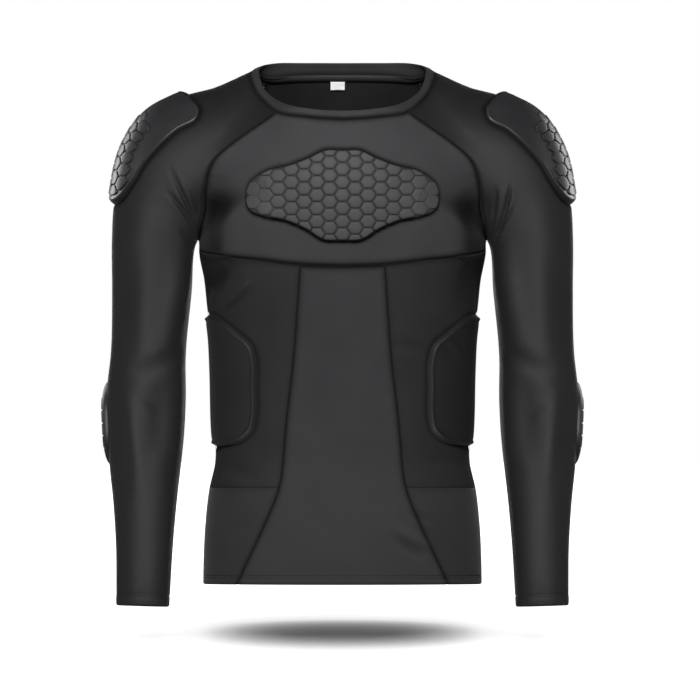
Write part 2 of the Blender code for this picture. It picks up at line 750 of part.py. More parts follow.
def spread(loop, spacing):
    """Evenly spaced points inside a loop, clear of its edge."""
    low = loop.min(axis=0)
    high = loop.max(axis=0)
    margin = min(spacing) / 2
    counts = np.maximum(((high - low) / np.array(spacing)).astype(int), 1)
    axes = [np.linspace(low[k], high[k], counts[k] + 1) for k in (0, 1)]
    points = np.stack(np.meshgrid(*axes), axis=-1).reshape(-1, 2)
    return points[inside(inset(loop, margin), points)]


class Pattern:
    """A flat pattern: loops and loose points with their heights, to be cut into triangles."""

    def __init__(self):
        self.points = []
        self.heights = []
        self.edges = []

    def loop(self, points, height):
        first = len(self.points)
        count = len(points)
        self.points.extend(Vector(point) for point in points)
        self.heights.extend([height] * count)
        self.edges.extend((first + i, first + (i + 1) % count) for i in range(count))

    def loose(self, points, height):
        self.points.extend(Vector(point) for point in points)
        self.heights.extend([height] * len(points))

    def triangles(self, floor_height):
        """Flat points, their heights, triangles, and where each given point went."""
        made = delaunay_2d_cdt(self.points, self.edges, [], 1, MERGE_DISTANCE)
        flat = np.array([tuple(point) for point in made[0]])
        heights = np.full(len(flat), floor_height)
        where = {}
        for new, given in enumerate(made[3]):
            for old in given:
                where[old] = new
            if given:
                heights[new] = max(self.heights[old] for old in given)
        return flat, heights, [tuple(face) for face in made[2]], where


def pad(name, outline, rim, cells, place, gap, spacing, colour, middle=(0.0, 0.0), mirror=False):
    """A moulded pad: a flat pattern with a rim and cells, laid on the cloth with a plain underside.

    The cells are given as their height and scale; a smooth pad has none.
    """
    outline = closed_outline(outline, PAD_EDGE_POINTS)
    if signed_area(outline) < 0:
        outline = outline[::-1]
    floor_height = rim[-1][1]
    top = Pattern()
    for distance, height in rim:
        top.loop(inset(outline, distance), height)
    field = inset(outline, rim[-1][0])
    if cells:
        cell_height, scale = cells
        for cut in hexagon_cells(field, np.array(middle), scale):
            top.loop(cut, floor_height)
            heart = cut.mean(axis=0)
            top.loop(heart + (cut - heart) * CELL_TOP_SHARE, floor_height + cell_height)
    else:
        top.loose(spread(field, spacing), floor_height)
    under = Pattern()
    under.loop(outline, 0.0)
    under.loose(spread(outline, spacing), 0.0)
    top_flat, top_heights, top_faces, top_where = top.triangles(floor_height)
    low_flat, low_heights, low_faces, low_where = under.triangles(0.0)
    flat = np.concatenate((top_flat, low_flat))
    heights = np.concatenate((top_heights, low_heights)) + gap
    points, out = place(flat)
    points = points + out * heights[:, None]
    shift = len(top_flat)
    faces = list(top_faces)
    faces.extend(tuple(shift + k for k in reversed(face)) for face in low_faces)
    count = len(outline)
    for i in range(count):
        j = (i + 1) % count
        faces.append((shift + low_where[i], shift + low_where[j], top_where[j], top_where[i]))
    if mirror:
        points = points * MIRROR
    return mesh_object(name, points, faces, colour, mirror)


def make_chest_pad():
    half = np.array(CHEST_PAD, float)
    outline = np.concatenate((half, half[-2:0:-1] * np.array([-1.0, 1.0])))
    middle = (0.0, (CHEST_PAD[0][1] + CHEST_PAD[-1][1]) / 2)

    def place(flat):
        points = seen(flat)
        return points, normals(points)

    pad("chest_pad", outline, CHEST_RIM, CHEST_CELLS, place, TORSO_PAD_GAP, CHEST_SPACING,
        "cells", middle)


def shoulder_pattern(points):
    """Flat pattern on the shoulder cap: across is backwards, up is up, both as turns about its centre."""
    away = points - np.array(SHOULDER_CENTRE)
    across = np.arctan2(away[:, 1], np.hypot(away[:, 0], away[:, 2]))
    up = np.arctan2(away[:, 2], away[:, 0])
    return np.column_stack((across, up)) * SHOULDER_RADIUS


def shoulder_place(flat):
    """Lays a flat pattern on the shoulder cap."""
    across, up = (flat / SHOULDER_RADIUS).T
    ways = np.column_stack((np.cos(across) * np.cos(up), np.sin(across), np.cos(across) * np.sin(up)))
    points = cast(np.tile(SHOULDER_CENTRE, (len(flat), 1)), ways)
    return points, normals(points)


def make_shoulder_pads():
    front = shoulder_pattern(seen(SHOULDER_PAD))
    ends = shoulder_pattern(np.array([(x, SHOULDER_CENTRE[1], z) for x, z in SHOULDER_PAD_ENDS]))
    back = front[::-1] * np.array([-1.0, 1.0])
    outline = np.concatenate((ends[:1], front, ends[1:], back))
    middle = ends.mean(axis=0)
    for name, mirror in (("R", False), ("L", True)):
        pad("shoulder_pad_" + name, outline, SHOULDER_RIM, SHOULDER_CELLS, shoulder_place,
            ARM_PAD_GAP, SHOULDER_SPACING, "cells", middle, mirror)


def make_rib_pads():
    front = places_of(seen(RIB_PAD))
    front = np.column_stack(((front[:, 0] - math.pi / 2) * RIB_PAD_RADIUS, front[:, 1]))
    back = front[::-1] * np.array([-1.0, 1.0])
    outline = np.concatenate(([[0.0, RIB_PAD_TOP_Z]], front, [[0.0, RIB_PAD_LOW_Z]], back))

    def place(flat):
        points = around(math.pi / 2 + flat[:, 0] / RIB_PAD_RADIUS, flat[:, 1])
        return points, normals(points)

    for name, mirror in (("R", False), ("L", True)):
        pad("rib_pad_" + name, outline, RIB_RIM, None, place, TORSO_PAD_GAP, RIB_SPACING, "rib",
            mirror=mirror)


def elbow_place(flat):
    """Lays a flat pattern on the arm: across is backwards round it, up is back along its axis."""
    points = on_arm(CUFF_STATION - flat[:, 1], -flat[:, 0] / ELBOW_PAD_RADIUS)
    return points, normals(points)


def make_elbow_pads():
    station = ARM_AXIS.station_of(np.array([ELBOW_CENTRE]))[0]
    middle = np.array([-math.radians(ELBOW_PAD_TURN) * ELBOW_PAD_RADIUS, CUFF_STATION - station])
    turn = np.linspace(0, 2 * math.pi, ELBOW_OUTLINE_POINTS, endpoint=False)
    power = 2 / ELBOW_PAD_SQUARENESS
    across = np.sign(np.cos(turn)) * np.abs(np.cos(turn)) ** power * ELBOW_PAD_HALF_WIDTH
    up = np.sign(np.sin(turn)) * np.abs(np.sin(turn)) ** power * ELBOW_PAD_HALF_HEIGHT
    outline = np.column_stack((across, up)) + middle
    for name, mirror in (("R", False), ("L", True)):
        pad("elbow_pad_" + name, outline, ELBOW_RIM, ELBOW_CELLS, elbow_place, ARM_PAD_GAP,
            ELBOW_SPACING, "cells", middle, mirror)


def make_label():
    """A small label that hangs against the inside of the back."""
    across = np.linspace(LABEL_X + LABEL_WIDTH / 2, LABEL_X - LABEL_WIDTH / 2, LABEL_COLUMNS + 1)
    down = np.linspace(LABEL_TOP_Z, LABEL_TOP_Z - LABEL_HEIGHT, LABEL_ROWS + 1)
    rows = np.stack(np.meshgrid(across, down), axis=-1).reshape(-1, 2)
    points = seen(rows, 1.0)
    out = normals(points)
    shape = (len(down), len(across), 3)
    outer = points - out * (CLOTH + LABEL_GAP)
    inner = outer - out * LABEL_CLOTH
    wall("neck_label", outer.reshape(shape), inner.reshape(shape), "label")


make_front_chest()
make_front_centre()
make_sides()
make_back()
make_sleeves()
make_neckband()
make_label()
make_chest_pad()
make_shoulder_pads()
make_rib_pads()
make_elbow_pads()
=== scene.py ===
# %% [markdown]
# # A padded compression shirt, worn and empty
#
# The object is a long-sleeved pullover of dark stretch knit. Moulded pads with hexagon cells sit on
# the chest, the shoulders and the elbows, and smooth covered pads sit on the ribs. It keeps the round
# form of a wearer, but nobody is inside it.
#
# The solids of the frame fix every size and place. This lesson lays finer cloth, pads and sewing on
# the same figure. Lengths are millimetres until a mesh is made. X points to the viewer's right, -Y is
# the front and Z is up.

import math

import bpy
import numpy as np
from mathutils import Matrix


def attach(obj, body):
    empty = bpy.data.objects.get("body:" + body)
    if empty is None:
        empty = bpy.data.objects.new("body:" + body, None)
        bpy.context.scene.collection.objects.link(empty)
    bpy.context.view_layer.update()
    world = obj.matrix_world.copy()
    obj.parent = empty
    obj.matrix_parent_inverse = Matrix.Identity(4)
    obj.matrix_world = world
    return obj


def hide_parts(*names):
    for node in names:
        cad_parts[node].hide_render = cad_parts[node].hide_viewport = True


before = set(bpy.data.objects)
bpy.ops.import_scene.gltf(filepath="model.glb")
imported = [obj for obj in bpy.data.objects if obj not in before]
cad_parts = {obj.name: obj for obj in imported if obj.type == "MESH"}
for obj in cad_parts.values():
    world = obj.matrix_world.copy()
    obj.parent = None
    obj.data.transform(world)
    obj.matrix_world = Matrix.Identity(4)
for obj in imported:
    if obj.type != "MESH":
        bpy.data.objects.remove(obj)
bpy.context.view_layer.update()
METRE = 0.001
MIRROR = np.array([-1.0, 1.0, 1.0])
print("solids in the frame:", len(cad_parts))

# %% [markdown]
# ## Curves through short tables
#
# A garment maker draws with a curved rule through a few measured points. A cubic curve does the same:
# it passes through every row of a short table, and its slope there is the mean slope of the rows beside
# it. The same curve, used twice, turns a coarse grid of points into a fine one. A spline object would
# also do, but arrays stay easy to measure.


# %% Curve tools
TINY = 1e-9
CURVE_FINENESS = 40


def smooth(table, at):
    """Cubic through a table: value = start, end and their slopes, mixed by the four Hermite weights."""
    rows = np.asarray(table, float)
    place = rows[:, 0]
    values = rows[:, 1:]
    slope = np.gradient(values, place, axis=0)
    at = np.clip(np.asarray(at, float), place[0], place[-1])
    i = np.clip(np.searchsorted(place, at, side="right") - 1, 0, len(place) - 2)
    step = (place[i + 1] - place[i])[..., None]
    t = (at - place[i])[..., None] / step
    keep = (1 + 2 * t) * (1 - t) ** 2
    leave = t * (1 - t) ** 2 * step
    arrive = t * t * (t - 1) * step
    return keep * values[i] + (1 - keep) * values[i + 1] + leave * slope[i] + arrive * slope[i + 1]


def unit(vectors):
    """Each vector divided by its own length."""
    return vectors / np.maximum(np.linalg.norm(vectors, axis=-1, keepdims=True), TINY)


def dot(first, second):
    """Row by row sum of products."""
    return np.einsum("ij,ij->i", first, second)


def chord_table(points):
    """Points with the length walked along their chords put in front."""
    points = np.asarray(points, float)
    steps = np.linalg.norm(np.diff(points, axis=0), axis=1)
    return np.column_stack((np.concatenate(([0.0], np.cumsum(steps))), points))


def resample(points, count):
    """Even steps along a smooth curve through the points."""
    table = chord_table(points)
    walk = chord_table(smooth(table, np.linspace(0, table[-1, 0], CURVE_FINENESS * len(points))))
    at = np.linspace(0, walk[-1, 0], count)
    return np.column_stack([np.interp(at, walk[:, 0], walk[:, k]) for k in range(1, walk.shape[1])])


def refine(grid, rows, columns):
    """Cubic surface through a coarse grid, read at fractional row and column numbers."""
    count, width = grid.shape[:2]
    tall = smooth(np.column_stack((np.arange(count), grid.reshape(count, -1))), rows)
    tall = tall.reshape(len(rows), width, 3).swapaxes(0, 1)
    wide = smooth(np.column_stack((np.arange(width), tall.reshape(width, -1))), columns)
    return wide.reshape(len(columns), len(rows), 3).swapaxes(0, 1)


def soft_step(low, high, value):
    """0 below low, 1 above high, and a smooth rise between."""
    t = np.clip((value - low) / (high - low), 0, 1)
    return t * t * (3 - 2 * t)


# %% [markdown]
# ## The figure under the cloth
#
# Stretch knit has no shape of its own: it takes the shape of what fills it. So one smooth figure comes
# first. The torso is a stack of rounded sections. Each arm is a bent tube. A soft minimum of the two
# distances joins them, wide over the shoulder and narrow at the armpit. The tables repeat the sizes of
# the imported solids, so the cloth lies where they lie.

# %% Sizes of the figure
# Height, half width, depth to the front, depth to the back
TORSO = (
    (-640, 174.0, 114, 108),
    (-590, 173.5, 114, 109),
    (-540, 171.0, 112, 108),
    (-500, 166.5, 109, 105),
    (-462, 158.5, 106, 103),
    (-425, 159.5, 106, 103),
    (-350, 160.5, 108, 106),
    (-312, 163.0, 111, 108),
    (-275, 168.5, 114, 110),
    (-238, 172.5, 117, 112),
    (-200, 179.0, 119, 114),
    (-170, 175.5, 120, 115),
    (-140, 169.5, 119, 116),
    (-110, 161.0, 115, 116),
    (-80, 150.0, 107, 113),
    (-50, 131.0, 97, 103),
    (-25, 115.0, 88, 92),
    (0, 103.0, 79, 82),
    (30, 95.0, 71, 72),
    (60, 92.0, 68, 68),
)
TORSO_SQUARENESS = 2.35

# Axis x, y, z, then reach to the outside, inside, front and back
ARM = (
    (39, 17, -21, 70, 45, 46, 40),
    (84, 16, -43, 73, 50, 60, 52),
    (129, 13, -64, 74, 52, 66, 57),
    (174, 9, -86, 83, 55, 66, 60),
    (194, 7, -99, 84, 57, 64, 60),
    (210, 6, -114, 75, 58, 62, 60),
    (229, 5, -147, 58, 62, 57, 58),
    (236, 5, -185, 52.5, 53.3, 54, 55),
    (238.5, 7, -250, 49.7, 49.7, 51, 51),
    (243, 9, -331, 46.8, 46.8, 48, 47),
    (245.7, 10, -385, 49.5, 49.5, 47, 46),
    (246, 9, -425, 48.0, 48.0, 46, 46),
    (246.7, 5, -462, 45.2, 45.2, 44, 44),
    (247, -5, -519, 39.2, 39.2, 39, 39),
    (247.7, -16, -575, 35.2, 35.2, 34, 34),
    (248.7, -22.5, -616, 33.8, 33.8, 32.1, 32.1),
    (249.5, -23.3, -643.3, 33.0, 33.0, 31, 31),
)

# How widely the arm flows into the torso: height, width
BLEND = ((-195, 6), (-185, 8), (-165, 20), (-125, 36), (-80, 40), (-30, 24), (10, 12), (40, 10))
print("torso sections:", len(TORSO), "arm sections:", len(ARM))

# %% Axis of the arm
ARM_SAMPLES = 260
LEAST_ROOM = 0.3


class ArmAxis:
    """The line that an arm's sections stand on, from the neck to the cuff, on the +X side."""

    def __init__(self):
        walked = chord_table(np.asarray(ARM, float)[:, :3])[:, 0]
        table = np.column_stack((walked, np.asarray(ARM, float)))
        dense = smooth(table, np.linspace(0, walked[-1], ARM_SAMPLES))
        self.centre = dense[:, :3]
        self.reach = dense[:, 3:]
        self.station = chord_table(self.centre)[:, 0]
        self.along = unit(np.gradient(self.centre, self.station, axis=0))
        self.out = unit(np.column_stack((-self.along[:, 2], np.zeros(ARM_SAMPLES), self.along[:, 0])))
        self.front = unit(np.cross(self.along, self.out))
        self.bend = np.gradient(self.along, self.station, axis=0)
        self.half_square = 0.5 * dot(self.centre, self.centre)

    def read(self, values, station):
        """Values along the axis, read straight between its samples."""
        parts = [np.interp(station, self.station, values[:, k]) for k in range(values.shape[1])]
        return np.stack(parts, axis=-1)

    def station_of(self, points):
        """Station of the nearest sample, plus the way ahead of it / (1 - away . bend).

        The nearest sample has the largest point . centre - |centre|^2 / 2.
        """
        nearest = np.argmax(points @ self.centre.T - self.half_square, axis=1)
        away = points - self.centre[nearest]
        room = np.maximum(1 - dot(away, self.bend[nearest]), LEAST_ROOM)
        ahead = dot(away, self.along[nearest]) / room
        spacing = self.station[1] - self.station[0]
        return self.station[nearest] + np.clip(ahead, -spacing, spacing)

    def turn_of(self, points):
        """Station, turn in radians (0 at the outside, towards the front) and distance from the axis."""
        station = self.station_of(points)
        away = points - self.read(self.centre, station)
        outwards = dot(away, unit(self.read(self.out, station)))
        forwards = dot(away, unit(self.read(self.front, station)))
        return station, np.arctan2(forwards, outwards), np.hypot(outwards, forwards)

    def level(self, points):
        """Distance outside the arm's wall: from the axis, less the radius of an ellipse at that turn."""
        station, turn, distance = self.turn_of(points)
        reach = self.read(self.reach, station)
        across = np.where(np.cos(turn) > 0, reach[:, 0], reach[:, 1])
        deep = np.where(np.sin(turn) > 0, reach[:, 2], reach[:, 3])
        return distance - 1.0 / np.hypot(np.cos(turn) / across, np.sin(turn) / deep)


ARM_AXIS = ArmAxis()
CUFF_STATION = ARM_AXIS.station[-1]
print("arm axis length:", round(CUFF_STATION), "mm")


# %% The figure as a distance
def torso_level(points):
    """Level distance outside the torso: |x / width|^n + |y / depth|^n = 1 on its wall."""
    sections = smooth(TORSO, points[:, 2])
    depth = np.where(points[:, 1] < 0, sections[:, 1], sections[:, 2])
    share = (np.abs(points[:, 0]) / sections[:, 0]) ** TORSO_SQUARENESS
    share = share + (np.abs(points[:, 1]) / depth) ** TORSO_SQUARENESS
    away = np.hypot(points[:, 0], points[:, 1])
    return away - away * np.maximum(share, TINY) ** (-1 / TORSO_SQUARENESS)


def figure_level(points):
    """The lesser of the two distances, lowered by a parabola where they are alike."""
    mirrored = np.column_stack((np.abs(points[:, 0]), points[:, 1:]))
    torso = torso_level(mirrored)
    arm = ARM_AXIS.level(mirrored)
    blend = smooth(BLEND, points[:, 2])[:, 0]
    shared = np.maximum(blend - np.abs(torso - arm), 0) / blend
    return np.minimum(torso, arm) - shared * shared * blend / 4


# %% Places on the figure
# Rays are walked to the surface by a share of the distance that is left
STRIDE = 0.9
RAY_STEPS = 48
RAY_START = 5.0
VIEW_START = 200.0
SETTLE_STEPS = 3
PROBE = 0.6
PAD_PROBE = 4.0


def cast(starts, directions, towards=1.0):
    """Where each ray leaves the figure (towards 1) or enters it (-1)."""
    points = np.array(starts, float)
    for _ in range(RAY_STEPS):
        points = points - directions * (figure_level(points) * STRIDE * towards)[:, None]
    return points


def normals(points, probe=PROBE):
    """Outward direction: how the distance grows along each axis, over a probe's length."""
    rises = [figure_level(points + axis * probe) - figure_level(points - axis * probe) for axis in np.eye(3)]
    return unit(np.stack(rises, axis=-1))


def settle(points):
    """Points moved straight onto the figure's surface."""
    flat = points.reshape(-1, 3)
    for _ in range(SETTLE_STEPS):
        flat = flat - normals(flat) * figure_level(flat)[:, None]
    return flat.reshape(points.shape)


def around(angle, z):
    """Places on the torso at an angle from the front (radians, towards +X) and a height."""
    angle, z = np.broadcast_arrays(np.asarray(angle, float), np.asarray(z, float))
    starts = np.column_stack((np.zeros(angle.size), np.zeros(angle.size), z.ravel()))
    ways = np.column_stack((np.sin(angle.ravel()), -np.cos(angle.ravel()), np.zeros(angle.size)))
    return cast(starts + ways * RAY_START, ways)


def on_arm(station, turn):
    """Places on the +X arm at a station of its axis and a turn about it."""
    station, turn = np.broadcast_arrays(np.asarray(station, float), np.asarray(turn, float))
    station = station.ravel()
    turn = turn.ravel()
    out = unit(ARM_AXIS.read(ARM_AXIS.out, station))
    front = unit(ARM_AXIS.read(ARM_AXIS.front, station))
    ways = out * np.cos(turn)[:, None] + front * np.sin(turn)[:, None]
    return cast(ARM_AXIS.read(ARM_AXIS.centre, station), ways)


def seen(rows, side=-1.0):
    """Places seen in the front view (side -1) or from behind (side +1) at each x and z."""
    rows = np.asarray(rows, float)
    starts = np.column_stack((rows[:, 0], np.full(len(rows), side * VIEW_START), rows[:, 1]))
    return cast(starts, np.tile([0.0, -side, 0.0], (len(rows), 1)), -1.0)


print("front of the lowest section:", around(0.0, TORSO[0][0])[0].round(1), "mm")

# %% [markdown]
# ## Where the panels meet
#
# The cut is a raglan: each sleeve runs up to the neckband, and its seams slant from the neck to the
# armpit. Below the chest a flared centre panel lies between two dark side panels. Every seam is worked
# out once, as a row of points, and both neighbours use it, so no gap can open between them.

# %% Seam sizes
ARMPIT_X = 181.6
SIDE_ANGLE = math.radians(91.2)
UNDERARM_Z = -202.0
WAIST_SEAM_Z = -497.0
HEM_Z = -616.0
FOLD_STEPS = 20

# Distance from the centre line and height, in the front view
RAGLAN_FRONT = ((132, -62.5), (163, -91), (172, -122))
RAGLAN_BACK = ((126, -38), (158, -84), (172, -122))
CENTRE_SEAM = ((52.5, -219), (60, -325), (67, -388), (73, -450), (80, -500), (97, -542), (131, -616))
FOLD_HEIGHTS = (-150.0, -173.0)

# Angle from the front in degrees, height
UNDER_CHEST = ((0, -221), (25, -219), (49, -212), (90, -202))

# Turn from the front in degrees, then the seam's x, y, z and the opening's x, y, z
NECK = (
    (0, 0, -91, -37, 0, -84, -26.6),
    (25, 41, -86, -34.5, 35, -80, -24.6),
    (50, 81, -68, -27.5, 74, -61, -16.5),
    (70, 104, -38, -6, 96, -35, -1),
    (90, 113, -7, 14, 104, -7, 20),
    (110, 110, 24, 23, 102, 23, 30),
    (130, 91, 50, 21, 85, 48, 34),
    (155, 47, 68, 20.5, 43, 64, 35),
    (180, 0, 73, 20.5, 0, 69, 35),
)
RAGLAN_FRONT_TURN = 50.0
RAGLAN_BACK_TURN = 130.0

# Divisions of the coarse grids
SIDE_COLUMNS = 16
CENTRE_COLUMNS = 12
BACK_COLUMNS = 36
RAGLAN_ROWS = 24
SLEEVE_NECK_COLUMNS = 12
UPPER_ROWS = 24
LOWER_ROWS = 10
CAP_ROWS = 24
ARM_ROWS = 24
CAP_SHARE = 0.4


# %% Neck, armpit and raglan seams
def signed(turns):
    """Turns past half way round, counted from the other side."""
    return np.where(turns > 180, turns - 360, turns)


def neck_places(turns):
    """Seam and opening of the neck at turns in degrees from the front, on the side their sign gives."""
    rows = smooth(NECK, np.abs(turns))
    rows[:, [0, 3]] *= np.sign(turns)[:, None]
    return settle(rows[:, :3]), rows[:, 3:]


def places_of(points):
    """Angle round the torso from the front, towards +X, and height of points on it."""
    return np.column_stack((np.arctan2(points[:, 0], -points[:, 1]), points[:, 2]))


def find_armpit():
    """Highest point of the gap between torso and arm, half way between them."""
    up = np.array([[0.0, 0.0, 1.0]])
    point = np.array([[ARMPIT_X, -ARMPIT_X / math.tan(SIDE_ANGLE), UNDERARM_Z]])
    for _ in range(FOLD_STEPS):
        point = cast(point, up, -1.0)
        point[0, 0] += (ARM_AXIS.level(point)[0] - torso_level(point)[0]) / 4
    return cast(point, up, -1.0)


def fold_bottom(heights, side):
    """Places half way between torso and arm, in the fold in front of the armpit or behind it."""
    rows = np.column_stack((np.full(len(heights), ARMPIT_X), heights))
    for _ in range(FOLD_STEPS):
        points = seen(rows, side)
        rows[:, 0] += (ARM_AXIS.level(points) - torso_level(points)) / 4
    return seen(rows, side)


ARMPIT = find_armpit()


def raglan(rows, side, neck_point):
    """Seam from the neck to the armpit, in even steps."""
    course = np.concatenate((neck_point, seen(rows, side), fold_bottom(FOLD_HEIGHTS, side), ARMPIT))
    points = settle(resample(course, RAGLAN_ROWS + 1))
    points[0] = neck_point[0]
    points[-1] = ARMPIT[0]
    return points


FRONT_TURNS = np.linspace(-RAGLAN_FRONT_TURN, RAGLAN_FRONT_TURN, 2 * SIDE_COLUMNS + CENTRE_COLUMNS + 1)
SLEEVE_TURNS = np.linspace(RAGLAN_FRONT_TURN, RAGLAN_BACK_TURN, SLEEVE_NECK_COLUMNS + 1)
BACK_TURNS = np.linspace(RAGLAN_BACK_TURN, 360 - RAGLAN_BACK_TURN, BACK_COLUMNS + 1)
FRONT_NECK = neck_places(FRONT_TURNS)[0]
SLEEVE_NECK = neck_places(SLEEVE_TURNS)[0]
BACK_NECK = neck_places(signed(BACK_TURNS))[0]
FRONT_RAGLAN = raglan(RAGLAN_FRONT, -1.0, SLEEVE_NECK[:1])
BACK_RAGLAN = raglan(RAGLAN_BACK, 1.0, SLEEVE_NECK[-1:])
print("armpit at", ARMPIT[0].round(1), "raglan seam", round(chord_table(FRONT_RAGLAN)[-1, 0]), "mm long")


# %% Seams below the chest
def centre_seam(heights):
    """Angle of the centre panel's seam at each height."""
    shown = places_of(seen(CENTRE_SEAM))
    return smooth(shown[::-1, ::-1], heights)[..., 0]


def under_chest(angles):
    """Height of the seam under the chest at an angle from the front."""
    return smooth(UNDER_CHEST, np.degrees(np.abs(angles)))[..., 0]


UPPER_SIDE_Z = np.linspace(UNDERARM_Z, WAIST_SEAM_Z, UPPER_ROWS + 1)
LOWER_SIDE_Z = np.linspace(WAIST_SEAM_Z, HEM_Z, LOWER_ROWS + 1)
SEAM_TOP_ANGLE = centre_seam(np.array([CENTRE_SEAM[0][1]]))[0]
UPPER_SEAM_Z = np.linspace(under_chest(SEAM_TOP_ANGLE), WAIST_SEAM_Z, UPPER_ROWS + 1)
SIDE_Z = np.concatenate((UPPER_SIDE_Z, LOWER_SIDE_Z[1:]))
SEAM_Z = np.concatenate((UPPER_SEAM_Z, LOWER_SIDE_Z[1:]))
SEAM_ANGLES = centre_seam(SEAM_Z)
SEAM_ANGLES[0] = SEAM_TOP_ANGLE
SIDE_TOP_ANGLES = np.linspace(SEAM_TOP_ANGLE, SIDE_ANGLE, SIDE_COLUMNS + 1)
CENTRE_TOP_ANGLES = np.linspace(-SEAM_TOP_ANGLE, SEAM_TOP_ANGLE, CENTRE_COLUMNS + 1)
print("centre seam", np.degrees(SEAM_ANGLES[[0, -1]]).round(), "degrees off the middle, at its top and hem")

# %% [markdown]
# ## Coarse grids of the panels
#
# A panel is a patch between four edges. Its places, an angle and a height, are blended from the edges,
# and a ray from the middle line finds the surface there. The sleeve is laid in rings instead: its first
# ring is the neck seam and both raglan seams, and its columns run down the arm. It is cut open along the
# inside of the arm, where the real sleeve is sewn.


# %% Patch tools
FLIP_ANGLE = np.array([-1.0, 1.0])


def edge(angles, heights):
    """A row of places from angles and heights, either of which may be one value."""
    angles, heights = np.broadcast_arrays(np.asarray(angles, float), np.asarray(heights, float))
    return np.column_stack((angles, heights))


def patch(top, bottom, left, right):
    """Places between four edges: both rulings added, less the blend of the corners."""
    down = np.linspace(0, 1, len(left))[:, None, None]
    over = np.linspace(0, 1, len(top))[None, :, None]
    ruled = (1 - down) * top[None] + down * bottom[None]
    ruled = ruled + (1 - over) * left[:, None] + over * right[:, None]
    corners = (1 - down) * ((1 - over) * top[0] + over * top[-1])
    corners = corners + down * ((1 - over) * bottom[0] + over * bottom[-1])
    return ruled - corners


def panel(places):
    """A grid of points from a grid of angles and heights on the torso."""
    return around(places[..., 0], places[..., 1]).reshape(*places.shape[:2], 3)


# %% Grids of the front
def chest_grid():
    """Neck seam at the top, raglan seams at the sides, under-chest seam at the bottom."""
    side = np.concatenate((places_of(FRONT_RAGLAN), edge(SIDE_ANGLE, [UNDERARM_Z])))
    angles = np.concatenate((-SIDE_TOP_ANGLES[::-1], CENTRE_TOP_ANGLES[1:-1], SIDE_TOP_ANGLES))
    grid = panel(patch(places_of(FRONT_NECK), edge(angles, under_chest(angles)), side * FLIP_ANGLE, side))
    grid[0] = FRONT_NECK
    grid[:RAGLAN_ROWS + 1, -1] = FRONT_RAGLAN
    grid[:RAGLAN_ROWS + 1, 0] = FRONT_RAGLAN * MIRROR
    return grid


def centre_grid():
    """The flared panel in the middle, from the chest to the hem."""
    right = edge(SEAM_ANGLES, SEAM_Z)
    top = edge(CENTRE_TOP_ANGLES, under_chest(CENTRE_TOP_ANGLES))
    bottom = edge(np.linspace(-SEAM_ANGLES[-1], SEAM_ANGLES[-1], CENTRE_COLUMNS + 1), HEM_Z)
    return panel(patch(top, bottom, right * FLIP_ANGLE, right))


def side_grids():
    """The +X side panel above the waist seam, and the one below it."""
    waist = edge(np.linspace(SEAM_ANGLES[UPPER_ROWS], SIDE_ANGLE, SIDE_COLUMNS + 1), WAIST_SEAM_Z)
    hem = edge(np.linspace(SEAM_ANGLES[-1], SIDE_ANGLE, SIDE_COLUMNS + 1), HEM_Z)
    top = edge(SIDE_TOP_ANGLES, under_chest(SIDE_TOP_ANGLES))
    inner_upper = edge(SEAM_ANGLES[:UPPER_ROWS + 1], UPPER_SEAM_Z)
    inner_lower = edge(SEAM_ANGLES[UPPER_ROWS:], LOWER_SIDE_Z)
    upper = panel(patch(top, waist, inner_upper, edge(SIDE_ANGLE, UPPER_SIDE_Z)))
    lower = panel(patch(waist, hem, inner_lower, edge(SIDE_ANGLE, LOWER_SIDE_Z)))
    return upper, lower


CHEST_GRID = chest_grid()
CENTRE_GRID = centre_grid()
SIDE_UPPER_GRID, SIDE_LOWER_GRID = side_grids()
print("chest grid:", CHEST_GRID.shape[:2], "centre grid:", CENTRE_GRID.shape[:2])


# %% Grids of the back and the sleeve
def back_grid():
    """One panel from the neck to the hem, between the back raglan seams and the side seams."""
    left = np.concatenate((places_of(BACK_RAGLAN), edge(SIDE_ANGLE, SIDE_Z)))
    right = left * FLIP_ANGLE + np.array([2 * math.pi, 0.0])
    top = places_of(BACK_NECK)
    top[:, 0] = np.mod(top[:, 0], 2 * math.pi)
    hem = edge(np.linspace(SIDE_ANGLE, 2 * math.pi - SIDE_ANGLE, BACK_COLUMNS + 1), HEM_Z)
    grid = panel(patch(top, hem, left, right))
    grid[0] = BACK_NECK
    grid[:RAGLAN_ROWS + 1, 0] = BACK_RAGLAN
    grid[:RAGLAN_ROWS + 1, -1] = BACK_RAGLAN * MIRROR
    return grid


def sleeve_grid():
    """Rings from the neck and raglan seams to the cuff, cut open at the inside of the arm."""
    ring = np.concatenate((FRONT_RAGLAN[:0:-1], SLEEVE_NECK, BACK_RAGLAN[1:]))
    station, turn, _ = ARM_AXIS.turn_of(ring)
    turn = np.unwrap(turn)
    turn = turn + 2 * math.pi * np.round((math.pi / 2 - turn[len(FRONT_RAGLAN)]) / (2 * math.pi))
    inside = (turn[0] + turn[-1]) / 2 + np.array([math.pi, -math.pi])
    even = np.linspace(inside[0], inside[1], len(ring))
    cap = np.linspace(0, CAP_SHARE, CAP_ROWS + 1)
    share = np.concatenate((cap, np.linspace(CAP_SHARE, 1, ARM_ROWS + 1)[1:]))[:, None]
    stations = station[None] + (CUFF_STATION - station[None]) * share
    turns = turn[None] + (even - turn)[None] * np.clip(share / CAP_SHARE, 0, 1)
    grid = on_arm(stations, turns).reshape(len(share), len(ring), 3)
    grid[0] = ring
    grid[:, -1] = grid[:, 0]
    return grid


BACK_GRID = back_grid()
SLEEVE_GRID = sleeve_grid()
print("sleeve grid:", SLEEVE_GRID.shape[:2], "back grid:", BACK_GRID.shape[:2])

